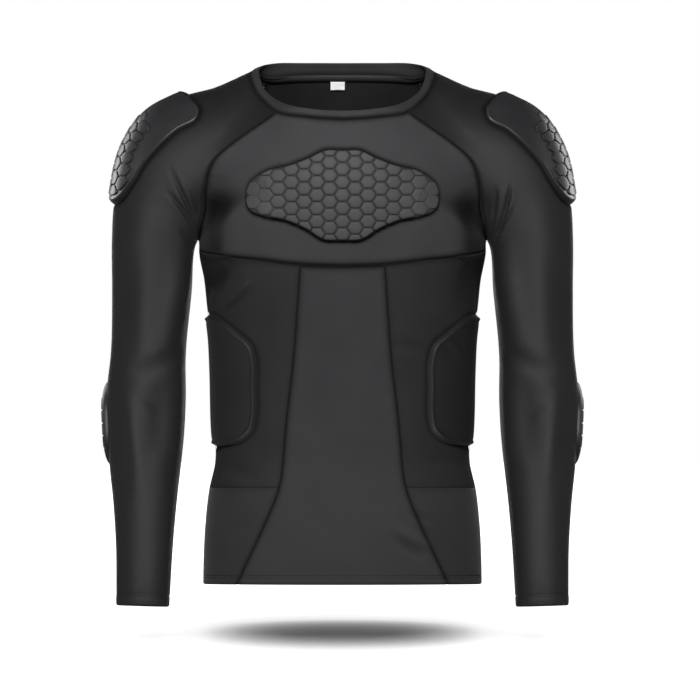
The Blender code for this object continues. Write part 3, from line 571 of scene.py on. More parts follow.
# %% [markdown]
# ## Patterns of the pads
#
# A pad is moulded flat and then bent over the body, so each is drawn as a flat outline, and a function
# of its own lays it on the figure. The outlines come before the cloth, because the cloth dips round each
# pad where it is sewn down.

# %% Outline tools
OUTLINE_POINTS = 220
LOOP_LEAD = 3


def closed_outline(points):
    """Even steps round a smooth closed curve through the points, anticlockwise."""
    points = np.asarray(points, float)
    looped = np.concatenate((points[-LOOP_LEAD:], points, points[:LOOP_LEAD + 1]))
    table = chord_table(looped)
    first = table[LOOP_LEAD, 0]
    last = table[LOOP_LEAD + len(points), 0]
    walk = chord_table(smooth(table, np.linspace(first, last, CURVE_FINENESS * len(points))))
    at = np.linspace(0, walk[-1, 0], OUTLINE_POINTS, endpoint=False)
    loop = np.column_stack([np.interp(at, walk[:, 0], walk[:, k]) for k in (1, 2)])
    x, y = loop.T
    area = np.sum(x * np.roll(y, -1) - np.roll(x, -1) * y)
    return loop if area > 0 else loop[::-1]


def mirrored_outline(half, ends):
    """An outline from one end over a half to the other end, and back over the half's mirror image."""
    return closed_outline(np.concatenate((ends[:1], half, ends[1:], half[::-1] * (-1, 1))))


def along_loop(loop):
    """Direction of a closed loop at each point, from its neighbour behind to the one ahead."""
    return unit(np.roll(loop, -1, axis=0) - np.roll(loop, 1, axis=0))


def inset(loop, distance):
    """The loop moved inwards, square to its direction."""
    way = along_loop(loop)
    return loop + np.column_stack((-way[:, 1], way[:, 0])) * distance


# %% Chest and rib patterns
CHEST_PAD = (
    (0, -76), (21, -76), (43, -86), (64, -94), (94, -102), (116, -119), (121, -134),
    (114, -152), (99, -159), (71, -165), (47, -175), (23, -189), (0, -190),
)
RIB_PAD = (
    (152, -286), (130, -303), (112, -320), (107, -338), (106.5, -370), (106.5, -405), (111, -426),
    (123, -438), (147, -444),
)
RIB_PAD_ENDS = (-281.0, -445.0)
RIB_RADIUS = 150.0


def front_place(flat):
    """Lays a flat pattern on the chest, straight from the front."""
    points = seen(flat)
    return points, normals(points)


def rib_place(flat):
    """Wraps a flat pattern round the side of the torso."""
    points = around(math.pi / 2 + flat[:, 0] / RIB_RADIUS, flat[:, 1])
    return points, normals(points)


chest_half = np.array(CHEST_PAD, float)
CHEST_OUTLINE = mirrored_outline(chest_half[1:-1], chest_half[[0, -1]])
rib_half = places_of(seen(RIB_PAD))
rib_half[:, 0] = (rib_half[:, 0] - math.pi / 2) * RIB_RADIUS
rib_ends = np.column_stack((np.zeros(2), RIB_PAD_ENDS))
RIB_OUTLINE = mirrored_outline(rib_half, rib_ends)
for what, outline in (("chest pad", CHEST_OUTLINE), ("rib pad", RIB_OUTLINE)):
    print(what, np.ptp(outline, axis=0).round(), "mm")

# %% Shoulder and elbow patterns
SHOULDER_PAD = (
    (184, -15), (177, -24), (179, -34), (207, -53), (230, -74), (246, -93), (262, -120), (275, -139),
    (284, -144),
)
SHOULDER_PAD_ENDS = ((197, -6), (287, -143))
SHOULDER_CENTRE = np.array((195.0, 5.0, -95.0))
SHOULDER_RADIUS = 90.0
ELBOW_CENTRE = (246.0, 9.0, -416.0)
ELBOW_TURN = math.radians(-60.0)
ELBOW_HALF_HEIGHT = 58.0
ELBOW_HALF_WIDTH = 57.0
ELBOW_SQUARENESS = 2.5
ELBOW_RADIUS = 48.0
ELBOW_CORNERS = 16


def shoulder_pattern(points):
    """Flat pattern on the shoulder cap: two turns about its centre, backwards and up, times a radius."""
    away = points - SHOULDER_CENTRE
    across = np.arctan2(away[:, 1], np.hypot(away[:, 0], away[:, 2]))
    return np.column_stack((across, np.arctan2(away[:, 2], away[:, 0]))) * SHOULDER_RADIUS


def shoulder_place(flat):
    """Lays a flat pattern on the shoulder cap."""
    across, up = (flat / SHOULDER_RADIUS).T
    ways = np.column_stack((np.cos(across) * np.cos(up), np.sin(across), np.cos(across) * np.sin(up)))
    points = cast(np.tile(SHOULDER_CENTRE, (len(flat), 1)), ways)
    return points, normals(points, PAD_PROBE)


def elbow_place(flat):
    """Lays a flat pattern on the arm: across is backwards round it, up is back along its axis."""
    points = on_arm(CUFF_STATION - flat[:, 1], -flat[:, 0] / ELBOW_RADIUS)
    return points, normals(points, PAD_PROBE)


SHOULDER_ENDS = shoulder_pattern(np.array([(x, SHOULDER_CENTRE[1], z) for x, z in SHOULDER_PAD_ENDS]))
SHOULDER_OUTLINE = mirrored_outline(shoulder_pattern(seen(SHOULDER_PAD)), SHOULDER_ENDS)
elbow_station = ARM_AXIS.station_of(np.array([ELBOW_CENTRE]))[0]
ELBOW_MIDDLE = np.array([-ELBOW_TURN * ELBOW_RADIUS, CUFF_STATION - elbow_station])
corner_turn = np.linspace(0, 2 * math.pi, ELBOW_CORNERS, endpoint=False)
corner_ways = np.column_stack((np.cos(corner_turn), np.sin(corner_turn)))
corner_ways = np.sign(corner_ways) * np.abs(corner_ways) ** (2 / ELBOW_SQUARENESS)
ELBOW_OUTLINE = closed_outline(corner_ways * (ELBOW_HALF_WIDTH, ELBOW_HALF_HEIGHT) + ELBOW_MIDDLE)

side_lines = np.concatenate((
    rib_place(RIB_OUTLINE)[0], shoulder_place(SHOULDER_OUTLINE)[0], elbow_place(ELBOW_OUTLINE)[0]))
PAD_LINES = np.concatenate((front_place(CHEST_OUTLINE)[0], side_lines, side_lines * MIRROR))
print("points on the edges of the pads:", len(PAD_LINES))

# %% [markdown]
# ## Creases
#
# Tight knit creases only where it is pulled or slack: in fans from the armpits, beside the rib pads,
# at the elbows and near the hem. Each crease is a bowed line in the front or back view. Its height is a
# narrow bell across the line, with a wider, weaker bell of the other sign that gives it soft shoulders.

# %% Crease table
# Side (-1 front, 1 back), start x, z, end x, z, bow to the left of the line, width, height
CREASES = (
    (-1, -218, -96, -181, -180, 3, 2.7, -6.2),
    (-1, -222, -126, -184, -178, 4, 2.7, -5.6),
    (-1, -203, -112, -180, -168, 2, 7.0, 2.4),
    (-1, -174, -150, -177, -192, 2, 3.6, -2.4),
    (-1, -164, -134, -168, -196, -2, 4.5, -2.2),
    (-1, -203, -172, -188, -205, 2, 4.0, -2.2),
    (-1, 210, -118, 189, -188, 3, 2.7, -5.8),
    (-1, 192, -120, 183, -190, 2, 2.8, -4.4),
    (-1, 216, -146, 190, -194, -3, 2.8, -4.6),
    (-1, 200, -120, 186, -176, 2, 6.0, 2.0),
    (-1, 176, -146, 178, -190, -2, 3.6, -2.2),
    (-1, -158, -104, -170, -292, 2, 20.0, -10.0),
    (-1, -190, -160, -90, -126, 2, 19.0, -7.2),
    (-1, 160, -104, 172, -292, -2, 19.0, -9.4),
    (-1, 190, -166, 94, -130, -2, 19.0, -6.8),
    (-1, -100, -92, -108, -208, 0, 22.0, 3.4),
    (-1, 100, -92, 108, -208, 0, 22.0, 3.0),
    (-1, -147, -273, -115, -237, -2, 4.2, 6.2),
    (-1, -171, -258, -136, -214, -3, 13.0, -7.4),
    (-1, 160, -206, 146, -290, -3, 17.0, -6.4),
    (-1, 117, -312, 134, -338, 2, 4.0, -1.4),
    (-1, 127, -307, 141, -331, 2, 3.6, 1.4),
    (-1, 62, -318, 104, -332, 3, 9.0, -1.8),
    (-1, 62, -541, 112, -571, -3, 6.5, 3.8),
    (-1, 66, -557, 104, -584, -3, 6.0, -2.8),
    (-1, 84, -526, 112, -540, -2, 6.0, -1.8),
    (-1, -152, -468, -104, -482, -3, 9.0, -2.0),
    (-1, 108, -462, 152, -472, 3, 9.0, -2.0),
    (-1, -197, -178, -221, -334, 2, 15.0, 6.4),
    (-1, -266, -196, -270, -338, 0, 16.0, -3.6),
    (-1, -198, -324, -268, -356, 5, 12.0, -3.0),
    (-1, -272, -364, -254, -512, 3, 12.0, 4.2),
    (-1, -226, -356, -231, -462, -3, 17.0, -4.8),
    (-1, -254, -392, -228, -410, 3, 6.0, -1.6),
    (-1, 199, -178, 223, -334, -2, 15.0, 6.4),
    (-1, 270, -200, 273, -326, 0, 16.0, -3.4),
    (-1, 203, -324, 268, -352, -5, 12.0, -3.0),
    (-1, 271, -364, 256, -508, -3, 12.0, 4.0),
    (-1, 227, -354, 232, -466, 3, 17.0, -4.6),
    (-1, 256, -398, 232, -420, -3, 6.0, -1.6),
    (1, -214, -104, -186, -156, 3, 5.0, -2.4),
    (1, -219, -138, -187, -180, 4, 5.0, -2.2),
    (1, 214, -112, 187, -160, -3, 5.0, -2.4),
    (1, 217, -146, 188, -184, -4, 5.0, -2.0),
    (1, -60, -470, 40, -482, 8, 13.0, -2.4),
    (1, -20, -505, 92, -512, -8, 14.0, -2.2),
    (1, -110, -440, -30, -452, -6, 12.0, -1.8),
    (1, -206, -356, -262, -378, 4, 9.0, -1.6),
    (1, 208, -350, 262, -374, -4, 9.0, -1.6),
)
print("creases:", len(CREASES))

# %% Crease height
CREASE_POINTS = 25
CREASE_REACH = 4.0
CREASE_TAPER = 0.8
SHOULDER_SHARE = 0.42
SHOULDER_WIDTH = 2.3
FACING_DEPTH = 14.0


def crease_height(points):
    """Sum over the creases of height * taper * (narrow bell - share * wide bell)."""
    flat = points.reshape(-1, 3)
    total = np.zeros(len(flat))
    t = np.linspace(0, 1, CREASE_POINTS)
    for side, x0, z0, x1, z1, bow, width, height in CREASES:
        start = np.array([x0, z0], float)
        end = np.array([x1, z1], float)
        across = np.array([z0 - z1, x1 - x0]) / np.hypot(x1 - x0, z1 - z0)
        bend = (start + end) / 2 + across * 2 * bow
        line = np.outer((1 - t) ** 2, start) + np.outer(2 * t * (1 - t), bend) + np.outer(t * t, end)
        reach = CREASE_REACH * SHOULDER_WIDTH * width
        near = np.all(flat[:, [0, 2]] > line.min(axis=0) - reach, axis=1)
        near &= np.all(flat[:, [0, 2]] < line.max(axis=0) + reach, axis=1)
        near &= flat[:, 1] * side > 0
        facing = soft_step(0, FACING_DEPTH, flat[near, 1] * side)
        away = np.linalg.norm(flat[near][:, None, [0, 2]] - line[None], axis=2)
        nearest = away.argmin(axis=1)
        distance = away.min(axis=1) / width
        taper = np.sin(math.pi * t[nearest]) ** CREASE_TAPER
        bell = np.exp(-distance ** 2) - SHOULDER_SHARE * np.exp(-(distance / SHOULDER_WIDTH) ** 2)
        total[near] += height * taper * facing * bell
    return total.reshape(points.shape[:-1])


# %% [markdown]
# ## Cloth as a thin shell
#
# Each panel becomes a closed shell: an outer face, an inner face and the edges between them. The outer
# face rolls under at its seams, as sewn knit does, and the hem and the cuffs are turned up inside. The
# steps of the grid are short near the edges, where the form changes fast, and longer in the middle. A
# Solidify modifier would also give thickness, but it could not thicken the turn-ups alone.

# %% Fine grids
SEAM_GAP = 0.05
EDGE_STEPS = (0.5, 0.6, 0.8, 1.1, 1.6, 2.4)


def even_steps(start, end, step):
    """Places from start up to end, about a step apart."""
    return np.linspace(start, end, max(int(round((end - start) / step)), 1), endpoint=False)


def graded(length, step, late_step, share):
    """Shares of a length: short steps at both ends, even ones between, and longer ones past a share."""
    near = np.cumsum(EDGE_STEPS)
    turn = near[-1] + (length - 2 * near[-1]) * share
    middle = even_steps(near[-1], turn, step)
    if share < 1:
        middle = np.concatenate((middle, even_steps(turn, length - near[-1], late_step)))
    return np.concatenate(([0.0], near[:-1], middle, length - near[::-1], [length])) / length


def lengths(grid, axis):
    """Length walked along the grid's rows or columns, from their first point."""
    steps = np.linalg.norm(np.diff(grid, axis=axis), axis=2)
    walked = np.cumsum(steps, axis=axis)
    return np.concatenate((np.zeros_like(np.take(walked, [0], axis=axis)), walked), axis=axis)


def fine_grid(grid, step, late_step, share):
    """The coarse grid refined and settled on the figure."""
    rows = graded(lengths(grid, 0)[-1].mean(), step, late_step, share) * (grid.shape[0] - 1)
    columns = graded(lengths(grid, 1)[:, -1].mean(), step, step, 1) * (grid.shape[1] - 1)
    return settle(refine(grid, rows, columns))


def draw_edges(grid):
    """The grid with its four edges drawn in by the seam gap."""
    drawn = grid.copy()
    drawn[0] += unit(grid[1] - grid[0]) * SEAM_GAP
    drawn[-1] += unit(grid[-2] - grid[-1]) * SEAM_GAP
    drawn[:, 0] += unit(grid[:, 1] - grid[:, 0]) * SEAM_GAP
    drawn[:, -1] += unit(grid[:, -2] - grid[:, -1]) * SEAM_GAP
    return drawn


# %% Heights along the edges
CLOTH = 1.6
SEAM_WIDTH = 4.4
SEAM_DEPTH = 1.6
HEM_STITCH = 8.5
CUFF_STITCH = 12.0
STITCH_DENT = 0.5
STITCH_DENT_WIDTH = 1.5
HEM_SWELL = 0.4
TURN_ANGLES = np.radians((45.0, 90.0, 135.0))
GROOVE_WIDTH = 2.6
GROOVE_DEPTH = 1.9
CHUNK = 4000


def pad_distance(points):
    """Distance to the nearest edge of a pad, a few thousand points at a time."""
    flat = points.reshape(-1, 3)
    squares = dot(PAD_LINES, PAD_LINES)
    nearest = [np.min(squares - 2 * part @ PAD_LINES.T, axis=1) + dot(part, part)
               for part in np.array_split(flat, len(flat) // CHUNK + 1)]
    return np.sqrt(np.maximum(np.concatenate(nearest), 0)).reshape(points.shape[:-1])


def groove(distance):
    """Height of cloth that is drawn down along the edge of a pad."""
    return -GROOVE_DEPTH * np.exp(-(distance / GROOVE_WIDTH) ** 2)


def seam_roll(distance):
    """Height of cloth that rolls under at a seam: a quarter of an ellipse, level past its width."""
    inwards = np.clip(1 - distance / SEAM_WIDTH, 0, 1)
    return -SEAM_DEPTH * (1 - np.sqrt(1 - inwards ** 2))


def hem_roll(distance, stitch):
    """Height of a turned-up edge: a low swell up to the stitch line, and a dent along it."""
    swell = HEM_SWELL * np.sin(math.pi * np.clip(distance / stitch, 0, 1))
    return swell - STITCH_DENT * np.exp(-((distance - stitch) / STITCH_DENT_WIDTH) ** 2)


def turned_edge(outer, inner):
    """Rows round the fold of a hem, on half circles from the outer face to the inner one."""
    middle = (outer[-1] + inner[-1]) / 2
    half = (outer[-1] - inner[-1]) / 2
    drop = unit(outer[-1] - outer[-3]) * np.linalg.norm(half, axis=1, keepdims=True)
    return np.stack([middle + half * math.cos(a) + drop * math.sin(a) for a in TURN_ANGLES])


# %% Mesh tools
def quads(*corners):
    """Faces from four arrays of corner numbers."""
    return np.stack([corner.ravel() for corner in corners], axis=1).tolist()


def shell_faces(rows, columns, turned):
    """Faces of a sheet that runs down the outside, round the turned edge and up the inside."""
    total = 2 * rows + turned
    index = np.arange(total * columns).reshape(total, columns)
    after = np.roll(index, -1, axis=0)
    faces = quads(index[:, :-1], after[:, :-1], after[:, 1:], index[:, 1:])
    outer = index[:rows]
    inner = index[:rows + turned - 1:-1]
    faces += quads(outer[1:, 0], outer[:-1, 0], inner[:-1, 0], inner[1:, 0])
    faces += quads(outer[:-1, -1], outer[1:, -1], inner[1:, -1], inner[:-1, -1])
    if turned:
        turn = index[rows:rows + turned]
        faces.append([outer[-1, 0], inner[-1, 0], *turn[::-1, 0]])
        faces.append([inner[-1, -1], outer[-1, -1], *turn[:, -1]])
    return faces


def add_object(name, data):
    """A new object in the scene, at the origin."""
    thing = bpy.data.objects.new(name, data)
    bpy.context.scene.collection.objects.link(thing)
    return thing


def make_piece(name, points, faces, flip=False):
    """A mesh object at the origin from points in millimetres, riding on the one body."""
    if flip:
        faces = [face[::-1] for face in faces]
    mesh = bpy.data.meshes.new(name)
    mesh.from_pydata((points.reshape(-1, 3) * METRE).tolist(), [], faces)
    mesh.shade_smooth()
    piece = add_object(name, mesh)
    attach(piece, "root")
    return piece


def set_uv(piece, places):
    """A UV map in metres along the cloth, one place for each point."""
    mesh = piece.data
    corner = np.empty(len(mesh.loops), dtype=np.int32)
    mesh.loops.foreach_get("vertex_index", corner)
    layer = mesh.uv_layers.new(name="cloth")
    layer.data.foreach_set("uv", (places.reshape(-1, 2)[corner] * METRE).ravel())


def set_mask(piece, name, values):
    """A value for each point, which a material can read by name."""
    attribute = piece.data.attributes.new(name, "FLOAT", "POINT")
    attribute.data.foreach_set("value", values.ravel())


# %% [markdown]
# ## The cloth panels
#
# One function makes every panel from its grid: it adds creases, seam rolls and hems to the outer face,
# and keeps a mask of painted shade along the seams, round the pads and in the creases for the finish.
# The knit is cut smaller than the figure, so the flat size is the worn size divided by its stretch.

# %% Panel maker
HEM_TURN = 12.0
HEM_EDGE = 1.5
# Sizes of the shade painted into the cloth's colour: along the seams, round the pads and in the crease
# troughs
SEAM_SHADE_WIDTH = 5.0
GROOVE_SHADE_WIDTH = 3.4
CREASE_SHADE_DEPTH = 4.8


def edge_heights(down, over, hem, seams):
    """Heights of the outer and the inner face that come from the edges, and a band of painted shade along
    each seam.
    """
    up_from_hem = down[-1:] - down
    edges = list(zip((down, up_from_hem, over, over[:, -1:] - over), seams))
    outer = np.zeros(down.shape)
    inner = np.full(down.shape, -CLOTH)
    if hem:
        edges.pop(1)
        outer = hem_roll(up_from_hem, hem)
        inner = inner - CLOTH * (1 - soft_step(HEM_TURN, HEM_TURN + HEM_EDGE, up_from_hem))
    outer = outer + sum(weight * seam_roll(distance) for distance, weight in edges)
    return outer, inner, [weight * np.exp(-(distance / SEAM_SHADE_WIDTH) ** 2) for distance, weight in edges]


def make_panel(name, grid, step, hem=0.0, mirror=False,
               seams=(1, 1, 1, 1), late=(0, 1)):
    """Outer face = figure + normal * (creases + seams + grooves + hem); the inner face is one cloth inside.

    The seams are weights of the top, bottom, left and right edges. The late values are a step for the
    rows past a share of the panel's length, and that share.
    """
    base = fine_grid(grid, step, *late)
    out = normals(base.reshape(-1, 3)).reshape(base.shape)
    down = lengths(base, 0)
    over = lengths(base, 1)
    height, inner_height, shade = edge_heights(down, over, hem, seams)
    to_pad = pad_distance(base)
    # Painted shade: a dark outline on the cloth round the edge of each pad
    shade.append(np.exp(-(to_pad / GROOVE_SHADE_WIDTH) ** 2))
    side = MIRROR if mirror else np.ones(3)
    base = draw_edges(base) * side
    out = out * side
    creases = crease_height(base)
    # Painted shade: the deeper a crease trough, the darker its colour
    shade.append(1 - np.exp(-(np.minimum(creases, 0) / CREASE_SHADE_DEPTH) ** 2))
    creases = creases + groove(to_pad)
    outer = base + out * (height + creases)[..., None]
    inner = base + out * (inner_height + creases)[..., None]
    turned = turned_edge(outer, inner) if hem else outer[:0]
    rows, columns = outer.shape[:2]
    points = np.concatenate((outer, turned, inner[::-1]))
    piece = make_piece(name, points, shell_faces(rows, columns, len(turned)), mirror)
    row = np.concatenate((np.arange(rows), np.full(len(turned), rows - 1), np.arange(rows)[::-1]))
    set_uv(piece, np.stack((over - over[:, -1:] / 2, -down), axis=-1)[row])
    # The 'seam' mask holds painted shade along the seams, round the pads and in the creases
    set_mask(piece, "seam", np.max(shade, axis=0)[row])
    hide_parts(name)
    return piece


# %% Panels
FRONT_STEP = 3.0
CENTRE_STEP = 3.8
BACK_STEP = 5.0
SLEEVE_STEP = 2.6
SLEEVE_LATE = (3.2, 0.4)
CENTRE_SEAMS = (1, 1, 0.6, 0.6)
UPPER_SEAMS = (1, 0.3, 0.6, 1)
LOWER_SEAMS = (0.3, 1, 0.6, 1)
chest = make_panel("front_chest", CHEST_GRID, FRONT_STEP)
centre = make_panel("front_centre", CENTRE_GRID, CENTRE_STEP, HEM_STITCH,
                    seams=CENTRE_SEAMS)
sides = []
sleeves = []
for mark, mirror in (("R", False), ("L", True)):
    upper = make_panel("side_upper_" + mark, SIDE_UPPER_GRID, FRONT_STEP, mirror=mirror,
                       seams=UPPER_SEAMS)
    lower = make_panel("side_lower_" + mark, SIDE_LOWER_GRID, FRONT_STEP, HEM_STITCH, mirror,
                       seams=LOWER_SEAMS)
    sides.extend((upper, lower))
    sleeves.append(make_panel("sleeve_" + mark, SLEEVE_GRID, SLEEVE_STEP, CUFF_STITCH, mirror,
                              late=SLEEVE_LATE))
back = make_panel("back", BACK_GRID, BACK_STEP, HEM_STITCH)

# %% [markdown]
# ## Neckband, tape and label
#
# The collar is a strip of knit folded double, so its top edge is round. Its section is one closed loop,
# carried round the neck: up the outside, over the fold and down the inside. Inside the neck a narrow
# tape covers the raw seam. A small white label hangs from the tape at the back. It is left bare.

# %% Neckband
BAND_CLOTH = 2.0
BAND_SWELL = 1.2
# Painted shade towards the sides of the band, where it turns from the light: from, to (mm from the middle),
# strength
BAND_SIDE = (45.0, 85.0)
BAND_SIDE_SHADE = 0.6
NECK_POINTS = 240
NECK_TURNS = signed(np.linspace(0, 360, NECK_POINTS, endpoint=False))

# Section of the band: share of its height, share of its thickness from the outer face
BAND_SECTION = (
    (0.00, 0.50), (0.01, 0.16), (0.07, 0.0), (0.2, -0.06), (0.4, -0.1), (0.6, -0.1), (0.8, -0.06),
    (0.93, 0.0), (0.985, 0.18), (1.0, 0.5), (0.985, 0.82), (0.93, 1.0), (0.7, 1.0), (0.45, 1.0),
    (0.2, 1.02), (0.0, 1.06), (-0.16, 1.08), (-0.18, 0.96), (-0.16, 0.86), (-0.02, 0.84),
)


def ring_faces(rings, points):
    """Faces of a loop of points carried round a closed path: both directions close on themselves."""
    index = np.arange(rings * points).reshape(rings, points)
    after = np.roll(index, -1, axis=0)
    return quads(index, after, np.roll(after, -1, axis=1), np.roll(index, -1, axis=1))


def neck_frame(turns):
    """Neck seam, opening, and the outward directions at both."""
    seam, opening = neck_places(turns)
    rise = unit(opening - seam)
    return seam, opening, normals(seam), unit(np.cross(along_loop(seam), rise))


def make_neckband():
    """Point = seam + height share * (opening - seam) + outward * (swell - thickness share * cloth)."""
    seam, opening, out_low, out_top = neck_frame(NECK_TURNS)
    share, depth = np.array(BAND_SECTION).T
    up = share[None, :, None]
    out = unit(out_low[:, None] * (1 - up) + out_top[:, None] * up)
    across = BAND_SWELL * np.sin(math.pi * share) - depth * BAND_CLOTH
    points = seam[:, None] * (1 - up) + opening[:, None] * up + out * across[None, :, None]
    piece = make_piece("neckband", points, ring_faces(NECK_POINTS, len(share)))
    walked = chord_table(seam)[:, 0]
    tall = np.linalg.norm(opening - seam, axis=1)
    round_section = chord_table(np.array(BAND_SECTION) * (tall.mean(), BAND_CLOTH))[:, 0]
    set_uv(piece, np.stack(np.broadcast_arrays(walked[:, None], round_section[None]), axis=-1))
    # Painted shade: darker at the foot of the band by its seam, and towards both sides
    foot = np.exp(-(share * tall.mean() / SEAM_SHADE_WIDTH) ** 2)
    beside = BAND_SIDE_SHADE * soft_step(*BAND_SIDE, np.abs(seam[:, 0]))
    set_mask(piece, "seam", np.maximum(foot[None], beside[:, None]))
    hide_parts("neckband")
    heights = (tall.min().round(1), "to", tall.max().round(1))
    print("neckband", round(walked[-1]), "mm round,", *heights, "mm tall")
    return piece


neckband = make_neckband()

# %% Tape
TAPE_TOP = 0.8
TAPE_HEIGHT = 9.0
TAPE_CLOTH = 0.7
TAPE_SWELL = 1.3
TAPE_CLEAR = 0.65
TAPE_ROWS = np.array((0.0, 0.5, 4.0, 8.0, 9.0))


def make_tape():
    """A strip inside the neck: down from the seam along the cloth, one tape's thickness deep."""
    seam, opening, out, _ = neck_frame(NECK_TURNS)
    down = unit(np.cross(along_loop(seam), out))
    down = down * np.sign(dot(down, seam - opening))[:, None]
    low = settle(seam + down * (TAPE_TOP + TAPE_HEIGHT))
    high = settle(seam + down * TAPE_TOP)
    low_out = normals(low)
    high_out = normals(high)
    face = CLOTH + TAPE_CLEAR
    corners = (
        high - high_out * face,
        high - high_out * (face + TAPE_CLOTH),
        (high + low) / 2 - unit(high_out + low_out) * (face + TAPE_CLOTH * TAPE_SWELL),
        low - low_out * (face + TAPE_CLOTH),
        low - low_out * face,
    )
    points = np.stack(corners, axis=1)
    piece = make_piece("neck_tape", points, ring_faces(NECK_POINTS, len(corners)), flip=True)
    walked = chord_table(seam)[:, 0]
    set_uv(piece, np.stack(np.broadcast_arrays(walked[:, None], TAPE_ROWS[None]), axis=-1))
    print("tape", TAPE_HEIGHT, "mm wide inside the neck")
    return piece


tape = make_tape()

# %% Label
LABEL_X = -6.2
LABEL_WIDTH = 18.0
LABEL_TOP_Z = 12.0
LABEL_HEIGHT = 10.0
LABEL_CLOTH = 0.8
LABEL_GAP = 1.0
LABEL_CURL = 0.7
LABEL_CURL_MIDDLE = 0.4
LABEL_COLUMNS = 19
LABEL_ROWS = 11


def make_label():
    """A grid on the inside of the back, whose free lower corners curl inwards a little."""
    across = np.linspace(LABEL_X + LABEL_WIDTH / 2, LABEL_X - LABEL_WIDTH / 2, LABEL_COLUMNS)
    down = np.linspace(LABEL_TOP_Z, LABEL_TOP_Z - LABEL_HEIGHT, LABEL_ROWS)
    rows = np.stack(np.meshgrid(across, down), axis=-1).reshape(-1, 2)
    points = seen(rows, 1.0)
    out = normals(points)
    low = (LABEL_TOP_Z - rows[:, 1]) / LABEL_HEIGHT
    curl = LABEL_CURL * low ** 2 * (LABEL_CURL_MIDDLE + np.abs(rows[:, 0] - LABEL_X) / LABEL_WIDTH)
    outer = points - out * (CLOTH + LABEL_GAP + curl)[:, None]
    inner = outer - out * LABEL_CLOTH
    shape = (LABEL_ROWS, LABEL_COLUMNS, 3)
    sheet = np.concatenate((outer.reshape(shape), inner.reshape(shape)[::-1]))
    piece = make_piece("neck_label", sheet, shell_faces(LABEL_ROWS, LABEL_COLUMNS, 0))
    grid = rows.reshape(LABEL_ROWS, LABEL_COLUMNS, 2)
    set_uv(piece, np.concatenate((grid, grid[::-1])))
    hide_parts("neck_label")
    print("label", LABEL_WIDTH, "x", LABEL_HEIGHT, "mm, bare")
    return piece


label = make_label()

# %% [markdown]
# ## Pads
#
# The base of a pad is a rounded tablet: rings run from the outline to the middle, and a short table gives
# the height of the rim. The cells are pillows on a grid of hexagons. Each is a fan of rays from its
# middle, as long as the hexagon or the pad's edge allows, so the cells at the border are cut to fit.


# %% Rays in an outline
def inside(loop, points):
    """Which points lie inside a loop, by counting its crossings to their right."""
    a = loop[None]
    b = np.roll(loop, -1, axis=0)[None]
    p = points[:, None]
    spans = (a[..., 1] > p[..., 1]) != (b[..., 1] > p[..., 1])
    rise = np.where(b[..., 1] == a[..., 1], 1.0, b[..., 1] - a[..., 1])
    cross = a[..., 0] + (p[..., 1] - a[..., 1]) * (b[..., 0] - a[..., 0]) / rise
    return np.sum(spans & (p[..., 0] < cross), axis=1) % 2 == 1


def ray_reach(loop, centres, ways):
    """Length of rays from each centre to the loop: the nearest crossing of all its chords."""
    a = loop[None, None]
    chord = np.roll(loop, -1, axis=0)[None, None] - a
    start = a - centres[:, None, None]
    way = ways[None, :, None]
    turn = way[..., 0] * chord[..., 1] - way[..., 1] * chord[..., 0]
    turn = np.where(np.abs(turn) < TINY, TINY, turn)
    far = (start[..., 0] * chord[..., 1] - start[..., 1] * chord[..., 0]) / turn
    along = (start[..., 0] * way[..., 1] - start[..., 1] * way[..., 0]) / turn
    hit = (far > 0) & (along >= 0) & (along <= 1)
    return np.where(hit, far, np.inf).min(axis=2)


# %% Hexagon cells
CELL_COLUMN = 15.8
CELL_ROW = 16.1
CELL_RAYS = 36
CELL_SAMPLES = 7
CELL_SAMPLE_REACH = 0.62
CELL_LEAST_SHARE = 0.2
LEAST_FACING = 1e-6

# Corners of a cell in shares of the spacing
HEXAGON = ((2 / 3, 0), (1 / 3, 0.5), (-1 / 3, 0.5), (-2 / 3, 0), (-1 / 3, -0.5), (1 / 3, -0.5))


def cell_centres(field, middle, spacing):
    """Middles of all the cells that can touch a field: every second column is half a row higher."""
    low = np.floor((field.min(axis=0) - middle) / spacing).astype(int) - 1
    high = np.ceil((field.max(axis=0) - middle) / spacing).astype(int) + 1
    column, row = np.meshgrid(np.arange(low[0], high[0] + 1), np.arange(low[1], high[1] + 1))
    shift = 0.5 * (column % 2)
    return middle + np.column_stack((column.ravel(), (row + shift).ravel())) * spacing


def hexagon_sides(spacing):
    """Outward directions of a cell's six sides, and their distances from its middle."""
    corners = np.array(HEXAGON) * spacing
    chord = np.roll(corners, -1, axis=0) - corners
    square = unit(np.column_stack((chord[:, 1], -chord[:, 0])))
    return square, dot(square, corners)


def cell_loops(field, middle, scale):
    """Centres of the cells in a field, and the rays' ways and lengths round each.

    A ray is as long as the nearer of its hexagon's side and the field's edge. Each length is then
    smoothed with its neighbours, which rounds the corners.
    """
    spacing = np.array([CELL_COLUMN, CELL_ROW]) * scale
    centres = cell_centres(field, middle, spacing)
    square, offset = hexagon_sides(spacing)
    probe = np.linspace(-CELL_SAMPLE_REACH, CELL_SAMPLE_REACH, CELL_SAMPLES)
    samples = np.stack(np.meshgrid(probe, probe), axis=-1).reshape(-1, 2) * spacing
    samples = samples[np.all(samples @ square.T < offset, axis=1)]
    held = inside(field, (centres[:, None] + samples[None]).reshape(-1, 2)).reshape(len(centres), -1)
    kept = held.mean(axis=1) > CELL_LEAST_SHARE
    centres = centres[kept]
    weight = held[kept][..., None]
    moved = (samples[None] * weight).sum(axis=1) / weight.sum(axis=1)
    turn = np.linspace(0, 2 * math.pi, CELL_RAYS, endpoint=False)
    ways = np.column_stack((np.cos(turn), np.sin(turn)))
    facing = ways @ square.T
    room = offset[None] - moved @ square.T
    far = room[:, None] / np.maximum(facing, LEAST_FACING)[None]
    hexagon = np.where(facing[None] > LEAST_FACING, far, np.inf).min(axis=2)
    reach = np.minimum(hexagon, ray_reach(field, centres + moved, ways))
    rounded = (np.roll(reach, 1, axis=1) + 2 * reach + np.roll(reach, -1, axis=1)) / 4
    return centres + moved, ways, np.minimum(rounded, reach)


